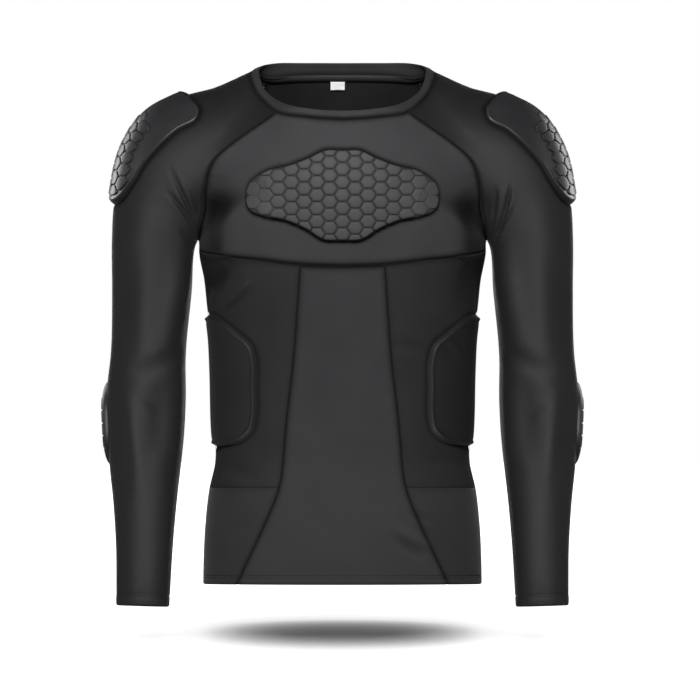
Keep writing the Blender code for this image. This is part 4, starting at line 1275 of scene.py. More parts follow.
# %% Tablets
FIELD_RINGS = 10
LOW_RINGS = 3
LOW_RIM = [0, 3, -1]
HEART_SHARE = 0.985
PAD_CLEAR = 0.25
RIM_TONE = 0.75
FOOT_SHADE_WIDTH = 2.2


def pad_rings(outline, distances, count):
    """Flat rings at distances from the outline, then rings that close in on the middle."""
    edge_rings = np.stack([inset(outline, distance) for distance in distances])
    share = np.linspace(0, HEART_SHARE, count + 1)[1:, None, None]
    heart = edge_rings[-1].mean(axis=0)
    return np.concatenate((edge_rings, edge_rings[-1] * (1 - share) + heart * share)), share.ravel()


def disc_faces(rings, points, first):
    """Faces of rings from an outline inwards, with one face that closes the last ring."""
    index = first + np.arange(rings * points).reshape(rings, points)
    outer = index[:-1]
    inner = index[1:]
    return quads(outer, np.roll(outer, -1, axis=1), np.roll(inner, -1, axis=1), inner) + [index[-1].tolist()]


def pad_tablet(outline, rim, crown):
    """Flat places, heights, faces, tones, foot shades and inner field of a tablet with a plain underside."""
    distance, height = np.array(rim, float).T
    top, share = pad_rings(outline, distance, FIELD_RINGS)
    low, _ = pad_rings(outline, distance[LOW_RIM], LOW_RINGS)
    top_height = np.concatenate((height + groove(distance), height[-1] + crown * (1 - (1 - share) ** 2)))
    low_height = np.concatenate((PAD_CLEAR + groove(distance[LOW_RIM]), np.full(LOW_RINGS, PAD_CLEAR)))
    count = len(outline)
    flat = np.concatenate((top, low)).reshape(-1, 2)
    lift = np.repeat(np.concatenate((top_height, low_height)), count)
    start = len(top) * count
    faces = disc_faces(len(top), count, 0) + [face[::-1] for face in disc_faces(len(low), count, start)]
    here = np.arange(count)
    ahead = np.roll(here, -1)
    faces += quads(start + here, start + ahead, ahead, here)
    # Painted shade: the floor of the field, between the cells, takes the dark colour, and the rim a lighter
    # one
    tone = np.where(np.arange(len(top) + len(low)) < len(rim) - 1, RIM_TONE, 0.0)
    # Painted shade at the foot of the pad, round its outline
    foot = np.exp(-(distance / FOOT_SHADE_WIDTH) ** 2)
    shade = np.concatenate((foot, np.zeros(len(top) + len(low) - len(rim))))
    return flat, lift, faces, np.repeat(tone, count), np.repeat(shade, count), top[len(rim) - 1]


# %% Pad maker
CELL_LEAST_HEIGHT = 0.12


def twins(stem):
    """Names of the right piece and of the left one, which is mirrored."""
    return (stem + "_R", False), (stem + "_L", True)


def pad_cells(field, base, cells, fade):
    """Flat places, heights and tones of the pillows: height = base + cell height * fade * rise."""
    section, cell_height, scale, middle = cells
    centres, ways, reach = cell_loops(field, np.array(middle), scale)
    full = np.ones(len(centres)) if fade is None else fade(centres)
    standing = full > CELL_LEAST_HEIGHT
    full = full[standing][:, None, None]
    share, rise = np.array(section).T
    lengths_out = reach[standing][:, None] * share[None, :, None]
    rays = centres[standing][:, None, None] + ways[None, None] * lengths_out[..., None]
    raised = base + cell_height * full * rise[None, :, None]
    # Painted shade: the tone follows the rise, dark in the grooves and light on the tops; faded cells keep
    # the light tone
    bright = np.clip(rise, 0, 1)[None, :, None] * full + (1 - full)
    return rays, np.broadcast_to(raised, rays.shape[:3]), np.broadcast_to(bright, rays.shape[:3])


def make_pad(names, outline, rim, place, cells=None, crown=0.0, fade=None, thin=None):
    """A tablet and its pillows, laid on the figure; a mirrored twin shares the calculation.

    The cells are given as a section, a height, a scale and a middle; a smooth pad has none. The cells
    may fade over the pad, and the whole pad may thin towards its edges.
    """
    flat, lift, faces, tone, shade, field = pad_tablet(outline, rim, crown)
    if cells:
        rays, raised, bright = pad_cells(field, rim[-1][1], cells, fade)
        if fade is not None:
            tone = np.maximum(tone, 1 - fade(flat))
        rings = rays.shape[1]
        first = len(flat) + np.arange(len(rays)) * rings * CELL_RAYS
        for start in first:
            faces += disc_faces(rings, CELL_RAYS, start)
        flat = np.concatenate((flat, rays.reshape(-1, 2)))
        lift = np.concatenate((lift, raised.ravel()))
        tone = np.concatenate((tone, bright.ravel()))
        shade = np.concatenate((shade, np.zeros(raised.size)))
    if thin is not None:
        lift = lift * thin(flat)
    points, out = place(flat)
    made = []
    for name, mirror in names:
        side = MIRROR if mirror else np.ones(3)
        height = lift + crease_height(points * side)
        piece = make_piece(name, points * side + out * side * height[:, None], faces, mirror)
        set_uv(piece, flat)
        # The 'cell' and 'seam' masks carry painted shade: in the grooves between the cells and at the foot of
        # the pad
        set_mask(piece, "cell", tone)
        set_mask(piece, "seam", shade)
        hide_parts(name)
        made.append(piece)
        print(name, "faces", len(piece.data.polygons))
    return made


# %% Chest pad
CHEST_RIM = ((0, 0.9), (0.2, 1.9), (0.6, 2.9), (1.1, 3.4), (1.8, 3.7))
CHEST_SECTION = (
    (0.99, -0.4), (0.985, 0.0), (0.93, 0.36), (0.85, 0.68), (0.74, 0.9), (0.55, 1.0), (0.2, 1.06),
)
CHEST_CELL_HEIGHT = 1.5
CHEST_FADE = (74.0, 112.0)
CHEST_FADE_SHARE = 0.85


def chest_fade(places):
    """Cells sink away towards the two ends of the pad."""
    return 1 - CHEST_FADE_SHARE * soft_step(*CHEST_FADE, np.abs(places[:, 0]))


chest_middle = (0.0, (CHEST_PAD[0][1] + CHEST_PAD[-1][1]) / 2)
chest_pads = make_pad([("chest_pad", False)], CHEST_OUTLINE, CHEST_RIM, front_place,
                      (CHEST_SECTION, CHEST_CELL_HEIGHT, 1.0, chest_middle), fade=chest_fade)

# %% Shoulder pads
SHOULDER_RIM = (
    (0, 1.0), (0.5, 2.2), (1.3, 3.8), (2.4, 5.4), (3.6, 6.6), (4.8, 7.2), (6.0, 7.3), (7.0, 6.9), (8.0, 6.8),
)
ARM_SECTION = ((0.95, -0.5), (0.945, 0.0), (0.93, 0.5), (0.9, 0.85), (0.86, 0.98), (0.7, 1.03), (0.25, 1.06))
SHOULDER_CELL_HEIGHT = 1.9
SHOULDER_CELL_SCALE = 1.15
SHOULDER_FADE = (36.0, 54.0)
SHOULDER_TOP_FADE = (0.5, 0.72)
SHOULDER_FADE_SHARE = 0.95
SHOULDER_THIN = (20.0, 56.0)
SHOULDER_THIN_SHARE = 0.62


def shoulder_fade(places):
    """Cells sink away towards the front, the back and the top of the pad."""
    low, high = np.sort(SHOULDER_ENDS[:, 1])
    over = soft_step(*SHOULDER_TOP_FADE, (places[:, 1] - low) / (high - low))
    return 1 - SHOULDER_FADE_SHARE * np.maximum(over, soft_step(*SHOULDER_FADE, np.abs(places[:, 0])))


def shoulder_thin(places):
    """The pad thins towards its front and back edges."""
    return 1 - SHOULDER_THIN_SHARE * soft_step(*SHOULDER_THIN, np.abs(places[:, 0]))


shoulder_cells = (ARM_SECTION, SHOULDER_CELL_HEIGHT, SHOULDER_CELL_SCALE, SHOULDER_ENDS.mean(axis=0))
shoulder_pads = make_pad(twins("shoulder_pad"), SHOULDER_OUTLINE, SHOULDER_RIM, shoulder_place,
                         shoulder_cells, fade=shoulder_fade, thin=shoulder_thin)

# %% Elbow and rib pads
ELBOW_RIM = ((0, 1.0), (0.5, 2.0), (1.3, 3.2), (2.4, 4.4), (3.6, 5.2), (4.8, 5.5), (6.0, 5.3), (7.0, 5.1))
ELBOW_CELL_HEIGHT = 1.7
RIB_RIM = (
    (0, 0.7), (0.3, 1.4), (1.0, 2.3), (2.2, 3.6), (3.4, 5.0), (4.6, 5.6), (5.8, 5.2), (7.2, 4.5), (9.0, 4.4),
    (12.0, 4.8),
)
RIB_CROWN = 1.4

elbow_pads = make_pad(twins("elbow_pad"), ELBOW_OUTLINE, ELBOW_RIM, elbow_place,
                      (ARM_SECTION, ELBOW_CELL_HEIGHT, 1.0, ELBOW_MIDDLE))
rib_pads = make_pad(twins("rib_pad"), RIB_OUTLINE, RIB_RIM, rib_place, crown=RIB_CROWN)

# %% [markdown]
# ## Sewing
#
# Sportswear is sewn flat: a zigzag of thread lies over each joint, so nothing rubs on the skin. Hem and
# cuffs have two straight rows. Every stitch is a short tube with four sides, arched a little over the
# cloth. All the stitches of a seam are worked out together and joined in one mesh.

# %% Stitch tools
FLATLOCK_PITCH = 2.6
FLATLOCK_HALF = 1.9
ROW_PITCH = 2.8
ROW_SHARE = 0.74
THREAD_RADIUS = 0.26
THREAD_ARCH = 0.18
THREAD_SIDES = 4
THREAD_PLACES = np.array((0.0, 0.2, 0.8, 1.0))
THREAD_TAPER = np.array((0.45, 1.0, 1.0, 0.45))


def thread_points(start, end, out):
    """Tubes from start to end: place along, plus an arch outwards, plus a ring of the tapered radius."""
    axis = end - start
    side = unit(np.cross(out, axis))
    arch = THREAD_ARCH * 4 * THREAD_PLACES * (1 - THREAD_PLACES)
    middle = start[:, None] + axis[:, None] * THREAD_PLACES[None, :, None]
    middle = middle + out[:, None] * arch[None, :, None]
    turn = np.linspace(0, 2 * math.pi, THREAD_SIDES, endpoint=False)[None, None, :, None]
    ring = side[:, None, None] * np.cos(turn) + out[:, None, None] * np.sin(turn)
    return middle[:, :, None] + ring * (THREAD_RADIUS * THREAD_TAPER)[None, :, None, None]


def thread_faces(count):
    """Faces of all the tubes, with both ends closed."""
    size = len(THREAD_PLACES) * THREAD_SIDES
    index = np.arange(count * size).reshape(count, len(THREAD_PLACES), THREAD_SIDES)
    here = index[:, :-1]
    ahead = index[:, 1:]
    tubes = quads(here, np.roll(here, -1, axis=2), np.roll(ahead, -1, axis=2), ahead)
    return tubes + index[:, 0, ::-1].tolist() + index[:, -1].tolist()


def seam_frame(path, spacing):
    """Even points along a seam with their outward and sideways directions."""
    length = chord_table(path)[-1, 0]
    points = settle(resample(path, max(int(round(length / spacing)), 2) + 1))
    out = normals(points)
    return points, out, unit(np.cross(out, np.gradient(points, axis=0)))


def flatlock(path):
    """Zigzag over a seam: from one side to the other and back at each pitch."""
    points, out, side = seam_frame(path, FLATLOCK_PITCH / 2)
    sway = np.where(np.arange(len(points)) % 2 == 0, 1.0, -1.0)[:, None] * FLATLOCK_HALF
    rail = points + side * sway
    return thread_points(rail[:-1], rail[1:], out[:-1])


def straight_row(path, offset):
    """Running stitches beside a line, each filling a share of the pitch."""
    points, out, side = seam_frame(path, ROW_PITCH)
    rail = points + side * offset
    return thread_points(rail[:-1], rail[:-1] + (rail[1:] - rail[:-1]) * ROW_SHARE, out[:-1])


def make_stitches(name, rows):
    """One piece from several rows of stitches."""
    points = np.concatenate(rows)
    piece = make_piece(name, points, thread_faces(len(points)))
    print(name, "stitches", len(points))
    return piece


# %% Stitched seams
HEM_ROWS = (-1.6, 1.6)
RING_POINTS = 181


def both_sides(path):
    """A seam of the +X side and its mirror image."""
    return path, path * MIRROR


def sewn_pairs(*seams):
    """Zigzags over seams of the +X side and over their mirror images."""
    return [flatlock(path) for seam in seams for path in both_sides(seam)]


def cuff_line():
    """The stitch line of the +X cuff."""
    return on_arm(CUFF_STATION - CUFF_STITCH, np.linspace(0, 2 * math.pi, RING_POINTS))


raglan_rows = sewn_pairs(FRONT_RAGLAN, BACK_RAGLAN)
front_rows = sewn_pairs(SIDE_UPPER_GRID[:, 0], SIDE_LOWER_GRID[:, 0]) + [flatlock(CHEST_GRID[-1])]
side_line = np.concatenate((ARMPIT, around(SIDE_ANGLE, SIDE_Z)))
side_rows = sewn_pairs(side_line, SLEEVE_GRID[:, 0])
neck_line = neck_places(signed(np.linspace(0, 360, RING_POINTS)))[0]
hem_line = around(np.linspace(0, 2 * math.pi, RING_POINTS), HEM_Z + HEM_STITCH)
edge_rows = [straight_row(hem_line, offset) for offset in HEM_ROWS]
edge_rows += [straight_row(path, offset) for path in both_sides(cuff_line()) for offset in HEM_ROWS]
stitches = [
    make_stitches("raglan_stitches", raglan_rows),
    make_stitches("front_stitches", front_rows),
    make_stitches("side_stitches", side_rows),
    make_stitches("neck_stitches", [flatlock(neck_line)]),
    make_stitches("edge_stitches", edge_rows),
]

# %% [markdown]
# ## Finishes
#
# The knit is nearly black with a soft satin light on it. Two effects are shared by all the cloth, so
# each is a node group: loops of knit, which are far too small to model, with painted shade between the
# loops, and a slow mottle like the slight unevenness of dyed cloth. A group gives values only. The shader
# that uses them stays in the material, where the sheen and the gloss are plain numbers. The knit and cell
# finishes also paint shade into their colour from masks that the pieces carry.


# %% Node tools
def new_group(name, inputs, outputs):
    """An empty shader group with named sockets."""
    group = bpy.data.node_groups.new(name, "ShaderNodeTree")
    for label_text, kind in inputs:
        group.interface.new_socket(label_text, in_out="INPUT", socket_type=kind)
    for label_text, kind in outputs:
        group.interface.new_socket(label_text, in_out="OUTPUT", socket_type=kind)
    return group, group.nodes.new("NodeGroupInput"), group.nodes.new("NodeGroupOutput")


def math_node(tree, operation, first, second=None, third=None):
    """A math node whose inputs are sockets or numbers; gives its output socket."""
    node = tree.nodes.new("ShaderNodeMath")
    node.operation = operation
    for socket, value in zip(node.inputs, (first, second, third)):
        if isinstance(value, bpy.types.NodeSocket):
            tree.links.new(value, socket)
        elif value is not None:
            socket.default_value = value
    return node.outputs[0]


# %% Knit and mottle groups
FLOAT = "NodeSocketFloat"
VECTOR = "NodeSocketVector"
WALE_SHARE = 0.55
COURSE_SHARE = 0.45
KNIT_SHADE = (0.3, 0.82)
MOTTLE_TINT = (0.3, 0.85)
MOTTLE_DETAIL = 3.0


def knit_group():
    """Loops of knit: rounded wales, crossed by slanted courses that lean with the place in the wale."""
    group, given, made = new_group("knit loops", (("Place", VECTOR), ("Wale", FLOAT)),
                                   (("Height", FLOAT), ("Shade", FLOAT)))
    split = group.nodes.new("ShaderNodeSeparateXYZ")
    group.links.new(given.outputs["Place"], split.inputs[0])
    over = math_node(group, "DIVIDE", split.outputs[0], given.outputs["Wale"])
    up = math_node(group, "DIVIDE", split.outputs[1], given.outputs["Wale"])
    wale = math_node(group, "ABSOLUTE", math_node(group, "SINE", math_node(group, "MULTIPLY", over, math.pi)))
    lean = math_node(group, "PINGPONG", over, 0.5)
    course = math_node(group, "MULTIPLY", math_node(group, "ADD", up, lean), 2 * math.pi)
    course = math_node(group, "MULTIPLY_ADD", math_node(group, "COSINE", course), 0.5, 0.5)
    wale = math_node(group, "MULTIPLY", wale, WALE_SHARE)
    height = math_node(group, "MULTIPLY_ADD", course, COURSE_SHARE, wale)
    group.links.new(height, made.inputs["Height"])
    # Shade: painted shade, darker where the loops are low
    group.links.new(math_node(group, "MULTIPLY_ADD", height, *KNIT_SHADE), made.inputs["Shade"])
    return group


def mottle_group():
    """Slow, soft unevenness in the dye: one noise in space, as a value about one."""
    group, given, made = new_group("dye mottle", (("Place", VECTOR), ("Size", FLOAT)),
                                   (("Tint", FLOAT), ("Value", FLOAT)))
    noise = group.nodes.new("ShaderNodeTexNoise")
    noise.inputs["Detail"].default_value = MOTTLE_DETAIL
    group.links.new(given.outputs["Place"], noise.inputs["Vector"])
    group.links.new(math_node(group, "DIVIDE", 1.0, given.outputs["Size"]), noise.inputs["Scale"])
    group.links.new(math_node(group, "MULTIPLY_ADD", noise.outputs[0], *MOTTLE_TINT), made.inputs["Tint"])
    group.links.new(noise.outputs[0], made.inputs["Value"])
    return group


KNIT = knit_group()
MOTTLE = mottle_group()
print("node groups:", [group.name for group in (KNIT, MOTTLE)])

# %% Finish tools
BLACK = (0.0, 0.0, 0.0)


def place_group(tree, group, place, **values):
    """A group in a material, fed with a place and with its own numbers."""
    node = tree.nodes.new("ShaderNodeGroup")
    node.node_tree = group
    tree.links.new(place, node.inputs["Place"])
    for name, value in values.items():
        node.inputs[name].default_value = value
    return node


def colour_mix(tree, low_colour, high_colour, share):
    """A mix of two colours by a share that changes over the surface."""
    mix = tree.nodes.new("ShaderNodeMix")
    mix.data_type = "RGBA"
    mix.inputs["A"].default_value = (*low_colour, 1.0)
    mix.inputs["B"].default_value = (*high_colour, 1.0)
    tree.links.new(share, mix.inputs["Factor"])
    return mix


def tinted(tree, colour, factors):
    """A colour times several factors that change over the surface."""
    shade = factors[0]
    for factor in factors[1:]:
        shade = math_node(tree, "MULTIPLY", shade, factor)
    mix = colour_mix(tree, BLACK, colour, shade)
    mix.clamp_factor = False
    return mix.outputs["Result"]


def mask_of(tree, name):
    """The value that each point carries under a name."""
    node = tree.nodes.new("ShaderNodeAttribute")
    node.attribute_name = name
    return node.outputs["Fac"]


def new_material(name):
    """A new material with its tree and its shader."""
    material = bpy.data.materials.new(name)
    material.use_nodes = True
    return material, material.node_tree, material.node_tree.nodes["Principled BSDF"]


def start_finish(name):
    """A new material with its shader, and its object and cloth coordinates."""
    material, tree, shader = new_material(name)
    where = tree.nodes.new("ShaderNodeTexCoord")
    cloth_uv = tree.nodes.new("ShaderNodeUVMap")
    cloth_uv.uv_map = "cloth"
    return material, tree, shader, where.outputs["Object"], cloth_uv.outputs["UV"]


def uneven(tree, value, limits):
    """A value from 0 to 1, stretched between two limits."""
    return math_node(tree, "MULTIPLY_ADD", value, limits[1] - limits[0], limits[0])


def add_bump(tree, shader, height, strength, distance):
    """Small relief in the surface's normal."""
    bump = tree.nodes.new("ShaderNodeBump")
    bump.inputs["Strength"].default_value = strength
    bump.inputs["Distance"].default_value = distance
    tree.links.new(height, bump.inputs["Height"])
    tree.links.new(bump.outputs["Normal"], shader.inputs["Normal"])


# %% Cloth finishes
SEAM_ROUGH = 0.3
KNIT_MOTTLE = 0.05
KNIT_BUMP = (0.35, 0.0002)
SHEEN_ROUGHNESS = 0.45
WOVEN_MOTTLE = 0.01
WOVEN_BUMP = (0.5, 0.0002)


def knit_finish(name, colour, rough=(0.5, 0.6), gloss=0.4, sheen=0.03, wale=0.0009, painted_shade_dark=0.85):
    """Stretch knit: loops in the bump, a slow mottle in the dye, and painted shade along seams, pad edges and
    creases.
    """
    material, tree, shader, place, uv = start_finish(name)
    loops = place_group(tree, KNIT, uv, Wale=wale)
    mottle = place_group(tree, MOTTLE, place, Size=KNIT_MOTTLE)
    # The 'seam' mask paints shade into the colour: seams, pad edges, creases, the neckband's foot and sides,
    # the rib pads' foot
    seam = mask_of(tree, "seam")
    dark = math_node(tree, "MULTIPLY_ADD", seam, -painted_shade_dark, 1.0)
    colour_out = tinted(tree, colour, (loops.outputs["Shade"], mottle.outputs["Tint"], dark))
    tree.links.new(colour_out, shader.inputs["Base Color"])
    spread = uneven(tree, mottle.outputs["Value"], rough)
    tree.links.new(math_node(tree, "MULTIPLY_ADD", seam, SEAM_ROUGH, spread), shader.inputs["Roughness"])
    add_bump(tree, shader, loops.outputs["Height"], *KNIT_BUMP)
    shader.inputs["Specular IOR Level"].default_value = gloss
    shader.inputs["Sheen Weight"].default_value = sheen
    shader.inputs["Sheen Roughness"].default_value = SHEEN_ROUGHNESS
    return material


def plain_cloth_finish(name, colour, wale, rough):
    """Thread or woven tape: the knit's loops at another size, with painted shade between them, and no painted
    shade along seams.
    """
    material, tree, shader, place, uv = start_finish(name)
    mottle = place_group(tree, MOTTLE, place, Size=WOVEN_MOTTLE)
    factors = [mottle.outputs["Tint"]]
    if wale:
        loops = place_group(tree, KNIT, uv, Wale=wale)
        factors.append(loops.outputs["Shade"])
        add_bump(tree, shader, loops.outputs["Height"], *WOVEN_BUMP)
    tree.links.new(tinted(tree, colour, factors), shader.inputs["Base Color"])
    shader.inputs["Roughness"].default_value = rough
    return material


# %% Finish of the cells
CELL_MOTTLE = 0.03
CELL_GRAIN = 0.0008
CELL_GRAIN_DETAIL = 2.0
CELL_GRAIN_DEPTH = 0.0001
COAT_ROUGHNESS = 0.2


def cell_finish(name, low_colour, high_colour, rough, coat, relief, foot_dark):
    """Moulded cells: painted shade in the grooves and at the foot, a leathery grain in the bump, gloss on the
    tops.
    """
    material, tree, shader, place, _ = start_finish(name)
    mottle = place_group(tree, MOTTLE, place, Size=CELL_MOTTLE)
    # Painted shade: the dark colour in the grooves and the light one on the tops, by the 'cell' mask
    mix = colour_mix(tree, low_colour, high_colour, mask_of(tree, "cell"))
    tint = tree.nodes.new("ShaderNodeVectorMath")
    tint.operation = "SCALE"
    tree.links.new(mix.outputs["Result"], tint.inputs[0])
    # Painted shade at the foot of the pad, by the 'seam' mask
    dark = math_node(tree, "MULTIPLY_ADD", mask_of(tree, "seam"), -foot_dark, 1.0)
    tree.links.new(math_node(tree, "MULTIPLY", mottle.outputs["Tint"], dark), tint.inputs["Scale"])
    tree.links.new(tint.outputs[0], shader.inputs["Base Color"])
    tree.links.new(uneven(tree, mottle.outputs["Value"], rough), shader.inputs["Roughness"])
    if relief:
        fine = tree.nodes.new("ShaderNodeTexNoise")
        fine.inputs["Scale"].default_value = 1 / CELL_GRAIN
        fine.inputs["Detail"].default_value = CELL_GRAIN_DETAIL
        tree.links.new(place, fine.inputs["Vector"])
        add_bump(tree, shader, fine.outputs[0], relief, CELL_GRAIN_DEPTH)
    shader.inputs["Coat Weight"].default_value = coat
    shader.inputs["Coat Roughness"].default_value = COAT_ROUGHNESS
    return material


# %% Dress the pieces
def dress(pieces, material):
    """Gives a finish to pieces."""
    for piece in pieces:
        piece.data.materials.append(material)


dress([chest], knit_finish("chest knit", (0.0565, 0.0565, 0.0595), rough=(0.6, 0.7), gloss=0.15,
                           painted_shade_dark=0.95))
dress([centre], knit_finish("centre knit", (0.0525, 0.0525, 0.0555), rough=(0.6, 0.7), gloss=0.15))
dress(sides[0::2], knit_finish("side knit", (0.025, 0.025, 0.027), painted_shade_dark=0.7))
# Painted light: a lighter copy of the side knit, with more sheen, on the lower side panels, as if light fell
# there from below
dress(sides[1::2], knit_finish("lower side knit, painted lighter", (0.038, 0.038, 0.040), gloss=0.3, sheen=0.14))
dress([back], knit_finish("back knit", (0.022, 0.022, 0.024)))
dress(sleeves, knit_finish("sleeve knit", (0.026, 0.026, 0.028), gloss=0.45))
dress([neckband], knit_finish("neckband knit", (0.062, 0.062, 0.065)))
dress([tape], plain_cloth_finish("neck tape", (0.030, 0.030, 0.032), wale=0.0016, rough=0.7))
dress([label], plain_cloth_finish("label cloth", (0.86, 0.86, 0.85), wale=0.0006, rough=0.75))
dress(chest_pads, cell_finish("chest cells", (0.040, 0.040, 0.042), (0.068, 0.068, 0.071),
                              rough=(0.6, 0.7), coat=0.0, relief=0.3, foot_dark=0.9))
dress(shoulder_pads + elbow_pads, cell_finish("arm cells", (0.007, 0.007, 0.008), (0.020, 0.020, 0.022),
                                              rough=(0.42, 0.5), coat=0.15, relief=0.0, foot_dark=0.6))
dress(rib_pads, knit_finish("rib cover", (0.0125, 0.0125, 0.0138), rough=(0.45, 0.58), painted_shade_dark=0.45))
dress(stitches, plain_cloth_finish("seam thread", (0.012, 0.012, 0.013), wale=0.0, rough=0.6))
print("finishes:", len(bpy.data.materials))

# %% [markdown]
# ## Studio
#
# The shirt floats over a pale floor with its shadow under it. The surround is white to the eye but lights
# the cloth only faintly, as in a studio with black screens. Product photos are often lit piece by piece, so
# most lights here are linked to the pieces that they light. A key above the camera shapes the body and a
# level one shapes the sleeves. Small ones pick out the label, the elbows and the lower edges of the rib
# pads. Panels at the sides and a rim light behind draw bright edges, and fills without gloss keep the back
# readable. A very wide light from above falls on the floor alone and makes the soft shadow. The camera is
# level and far away, with a long lens.

# %% Floor and surround
FLOOR_Z = -0.680
FLOOR_HALF = 30.0
FLOOR_RISE = 0.046
FLOOR_RUN = 0.28
FLOOR_ROWS = 61
FLOOR_ROUGHNESS = 0.9
SURROUND = 0.085
FLOOR_TO_EYE = 3.0
FLOOR_TO_CLOTH = 0.3


def eye_or_cloth(tree, to_eye, to_cloth):
    """One number for what the camera sees directly, another for light on its way to the cloth."""
    path = tree.nodes.new("ShaderNodeLightPath")
    mix = tree.nodes.new("ShaderNodeMix")
    mix.inputs["A"].default_value = to_cloth
    mix.inputs["B"].default_value = to_eye
    tree.links.new(path.outputs["Is Camera Ray"], mix.inputs["Factor"])
    return mix.outputs["Result"]


def make_floor():
    """A wide sheet that swells a little behind the shirt: height = floor + rise * tanh(y / run)."""
    rows = np.concatenate(([-FLOOR_HALF], np.linspace(-1, 1, FLOOR_ROWS), [FLOOR_HALF]))
    heights = FLOOR_Z + FLOOR_RISE * np.tanh(rows / FLOOR_RUN)
    ends = [np.column_stack((np.full(len(rows), x), rows, heights)) for x in (-FLOOR_HALF, FLOOR_HALF)]
    first = np.arange(len(rows) - 1)
    faces = quads(first, first + len(rows), first + len(rows) + 1, first + 1)
    mesh = bpy.data.meshes.new("floor")
    mesh.from_pydata(np.concatenate(ends).tolist(), [], faces)
    mesh.shade_smooth()
    floor = add_object("floor", mesh)
    material, tree, shader = new_material("pale floor")
    tree.links.new(eye_or_cloth(tree, FLOOR_TO_EYE, FLOOR_TO_CLOTH), shader.inputs["Base Color"])
    shader.inputs["Roughness"].default_value = FLOOR_ROUGHNESS
    shader.inputs["Specular IOR Level"].default_value = 0.0
    mesh.materials.append(material)
    skipped = bpy.data.collections.new("skipped by the lights")
    skipped.objects.link(floor)
    skipped.collection_objects[0].light_linking.link_state = "EXCLUDE"
    return floor, skipped


def make_world():
    """A surround that is white to the eye, faint on the cloth, and gives no reflections."""
    world = bpy.data.worlds.new("studio")
    world.use_nodes = True
    tree = world.node_tree
    tree.nodes["Background"].inputs["Color"].default_value = (1.0, 1.0, 1.0, 1.0)
    tree.links.new(eye_or_cloth(tree, 1.0, SURROUND), tree.nodes["Background"].inputs["Strength"])
    world.cycles_visibility.glossy = False
    bpy.context.scene.world = world


floor, skipped_by_lights = make_floor()
make_world()
print("floor at", FLOOR_Z, "m")

# %% Shadow light
OVERHEAD = 1.4
OVERHEAD_ANGLE = math.radians(120)


def link_light(lamp, role, things):
    """Limits what a lamp lights (receiver) or what holds its light off (blocker) to some things."""
    linked = bpy.data.collections.new(lamp.name + " " + role)
    for thing in things:
        linked.objects.link(thing)
    setattr(lamp.light_linking, role + "_collection", linked)


def make_overhead(blockers):
    """Soft light from straight above that falls on the floor alone, and is held off by the torso alone."""
    data = bpy.data.lights.new("overhead", "SUN")
    data.energy = OVERHEAD
    data.angle = OVERHEAD_ANGLE
    lamp = add_object("overhead", data)
    link_light(lamp, "receiver", [floor])
    link_light(lamp, "blocker", blockers)


make_overhead([chest, centre, back, *sides])
print("shadow light", round(math.degrees(OVERHEAD_ANGLE)), "degrees wide")

# %% Lights on the pieces
arm_pads = shoulder_pads + elbow_pads
bodice = [chest, centre, back, neckband, tape, label, *sides, *chest_pads, *arm_pads, *rib_pads]

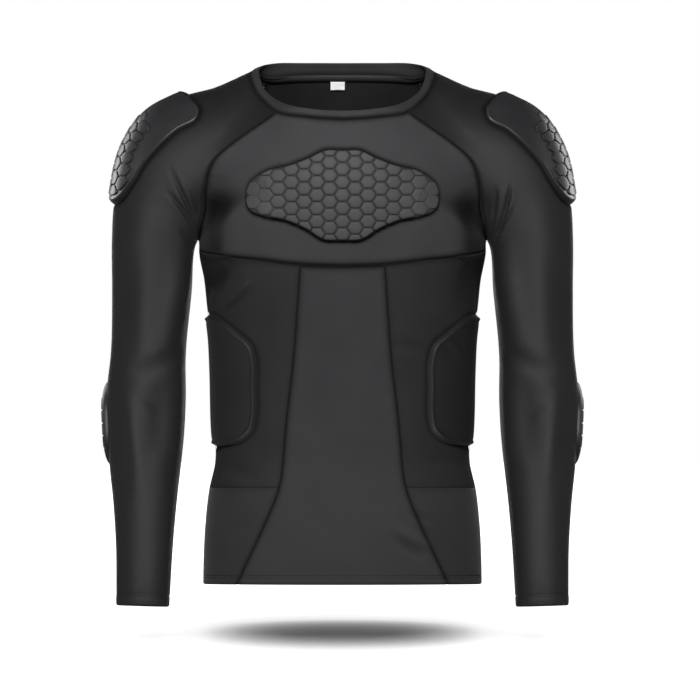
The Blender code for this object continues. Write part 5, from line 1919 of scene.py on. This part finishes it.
# Name, place, target, width, height, power, the pieces it lights (none for all of them), gloss
LIGHTS = (
    ("key", (-0.25, -2.95, 1.65), (0.0, 0.0, -0.25), 1.4, 1.0, 86.0, bodice + stitches, True),
    ("arm key", (0.0, -2.2, 0.05), (0.0, 0.0, -0.3), 1.2, 0.9, 28.0, sleeves, True),
    ("label light", (0.0, -1.5, 0.6), (0.0, 0.05, 0.0), 0.5, 0.5, 16.0, [label], True),
    ("left elbow", (-1.3, -1.2, -0.3), (-0.28, 0.0, -0.4), 0.5, 0.5, 8.0, elbow_pads, True),
    ("right elbow", (1.3, -1.2, -0.3), (0.28, 0.0, -0.4), 0.5, 0.5, 8.0, elbow_pads, True),
    ("rib light", (-0.6, -1.5, -1.9), (0.0, 0.0, -0.38), 0.8, 0.5, 26.0, rib_pads, True),
    ("high", (0.0, -1.9, 2.0), (0.0, 0.0, -0.2), 2.2, 0.6, 11.0, None, False),
    ("left panel", (-1.2, 0.55, 0.15), (-0.27, 0.0, -0.1), 0.9, 0.75, 12.0, arm_pads, True),
    ("right panel", (1.2, 0.55, 0.15), (0.27, 0.0, -0.1), 0.9, 0.75, 12.0, arm_pads, True),
    ("rim", (0.0, 3.0, -0.35), (0.0, 0.0, -0.35), 3.6, 1.0, 24.0, sleeves, True),
    ("behind", (0.3, 3.2, 1.0), (0.0, 0.0, -0.3), 2.4, 1.6, 150.0, None, False),
    ("left fill", (-3.0, 0.5, 0.2), (0.0, 0.0, -0.3), 2.4, 1.6, 26.0, None, False),
    ("right fill", (3.0, 0.5, 0.2), (0.0, 0.0, -0.3), 2.4, 1.6, 22.0, None, False),
)


def make_light(name, place, target, width, height, power, pieces, gloss):
    """A rectangular light that faces a target and lights some pieces only, or all but the floor."""
    data = bpy.data.lights.new(name, "AREA")
    data.shape = "RECTANGLE"
    data.size = width
    data.size_y = height
    data.energy = power
    lamp = add_object(name, data)
    lamp.location = place
    way = np.array(target, float) - np.array(place, float)
    level = math.hypot(way[0], way[1])
    lamp.rotation_euler = (math.atan2(level, -way[2]), 0.0, math.atan2(-way[0], way[1]))
    lamp.visible_camera = False
    lamp.visible_glossy = gloss
    if pieces:
        link_light(lamp, "receiver", pieces)
    else:
        lamp.light_linking.receiver_collection = skipped_by_lights
    return lamp


lamps = {row[0]: make_light(*row) for row in LIGHTS}
link_light(lamps["rib light"], "blocker", bodice)
print("lights:", ", ".join(lamps))

# %% Camera
CAMERA_DISTANCE = 25.0
PICTURE_WIDTH = 0.875
AIM = (0.0094, -0.325)
SENSOR = 36.0
LENS = SENSOR * CAMERA_DISTANCE / PICTURE_WIDTH
CAMERA_REACH = 100.0


def make_camera():
    """A level camera with a long lens: lens length = sensor * distance / width of the picture."""
    data = bpy.data.cameras.new("camera")
    data.sensor_width = SENSOR
    data.lens = LENS
    data.clip_end = CAMERA_REACH
    camera = add_object("camera", data)
    camera.location = (AIM[0], -CAMERA_DISTANCE, AIM[1])
    camera.rotation_euler = (math.pi / 2, 0.0, 0.0)
    bpy.context.scene.camera = camera


make_camera()
bpy.context.scene.view_settings.view_transform = "Standard"
print("camera", CAMERA_DISTANCE, "m away, lens", round(LENS), "mm")
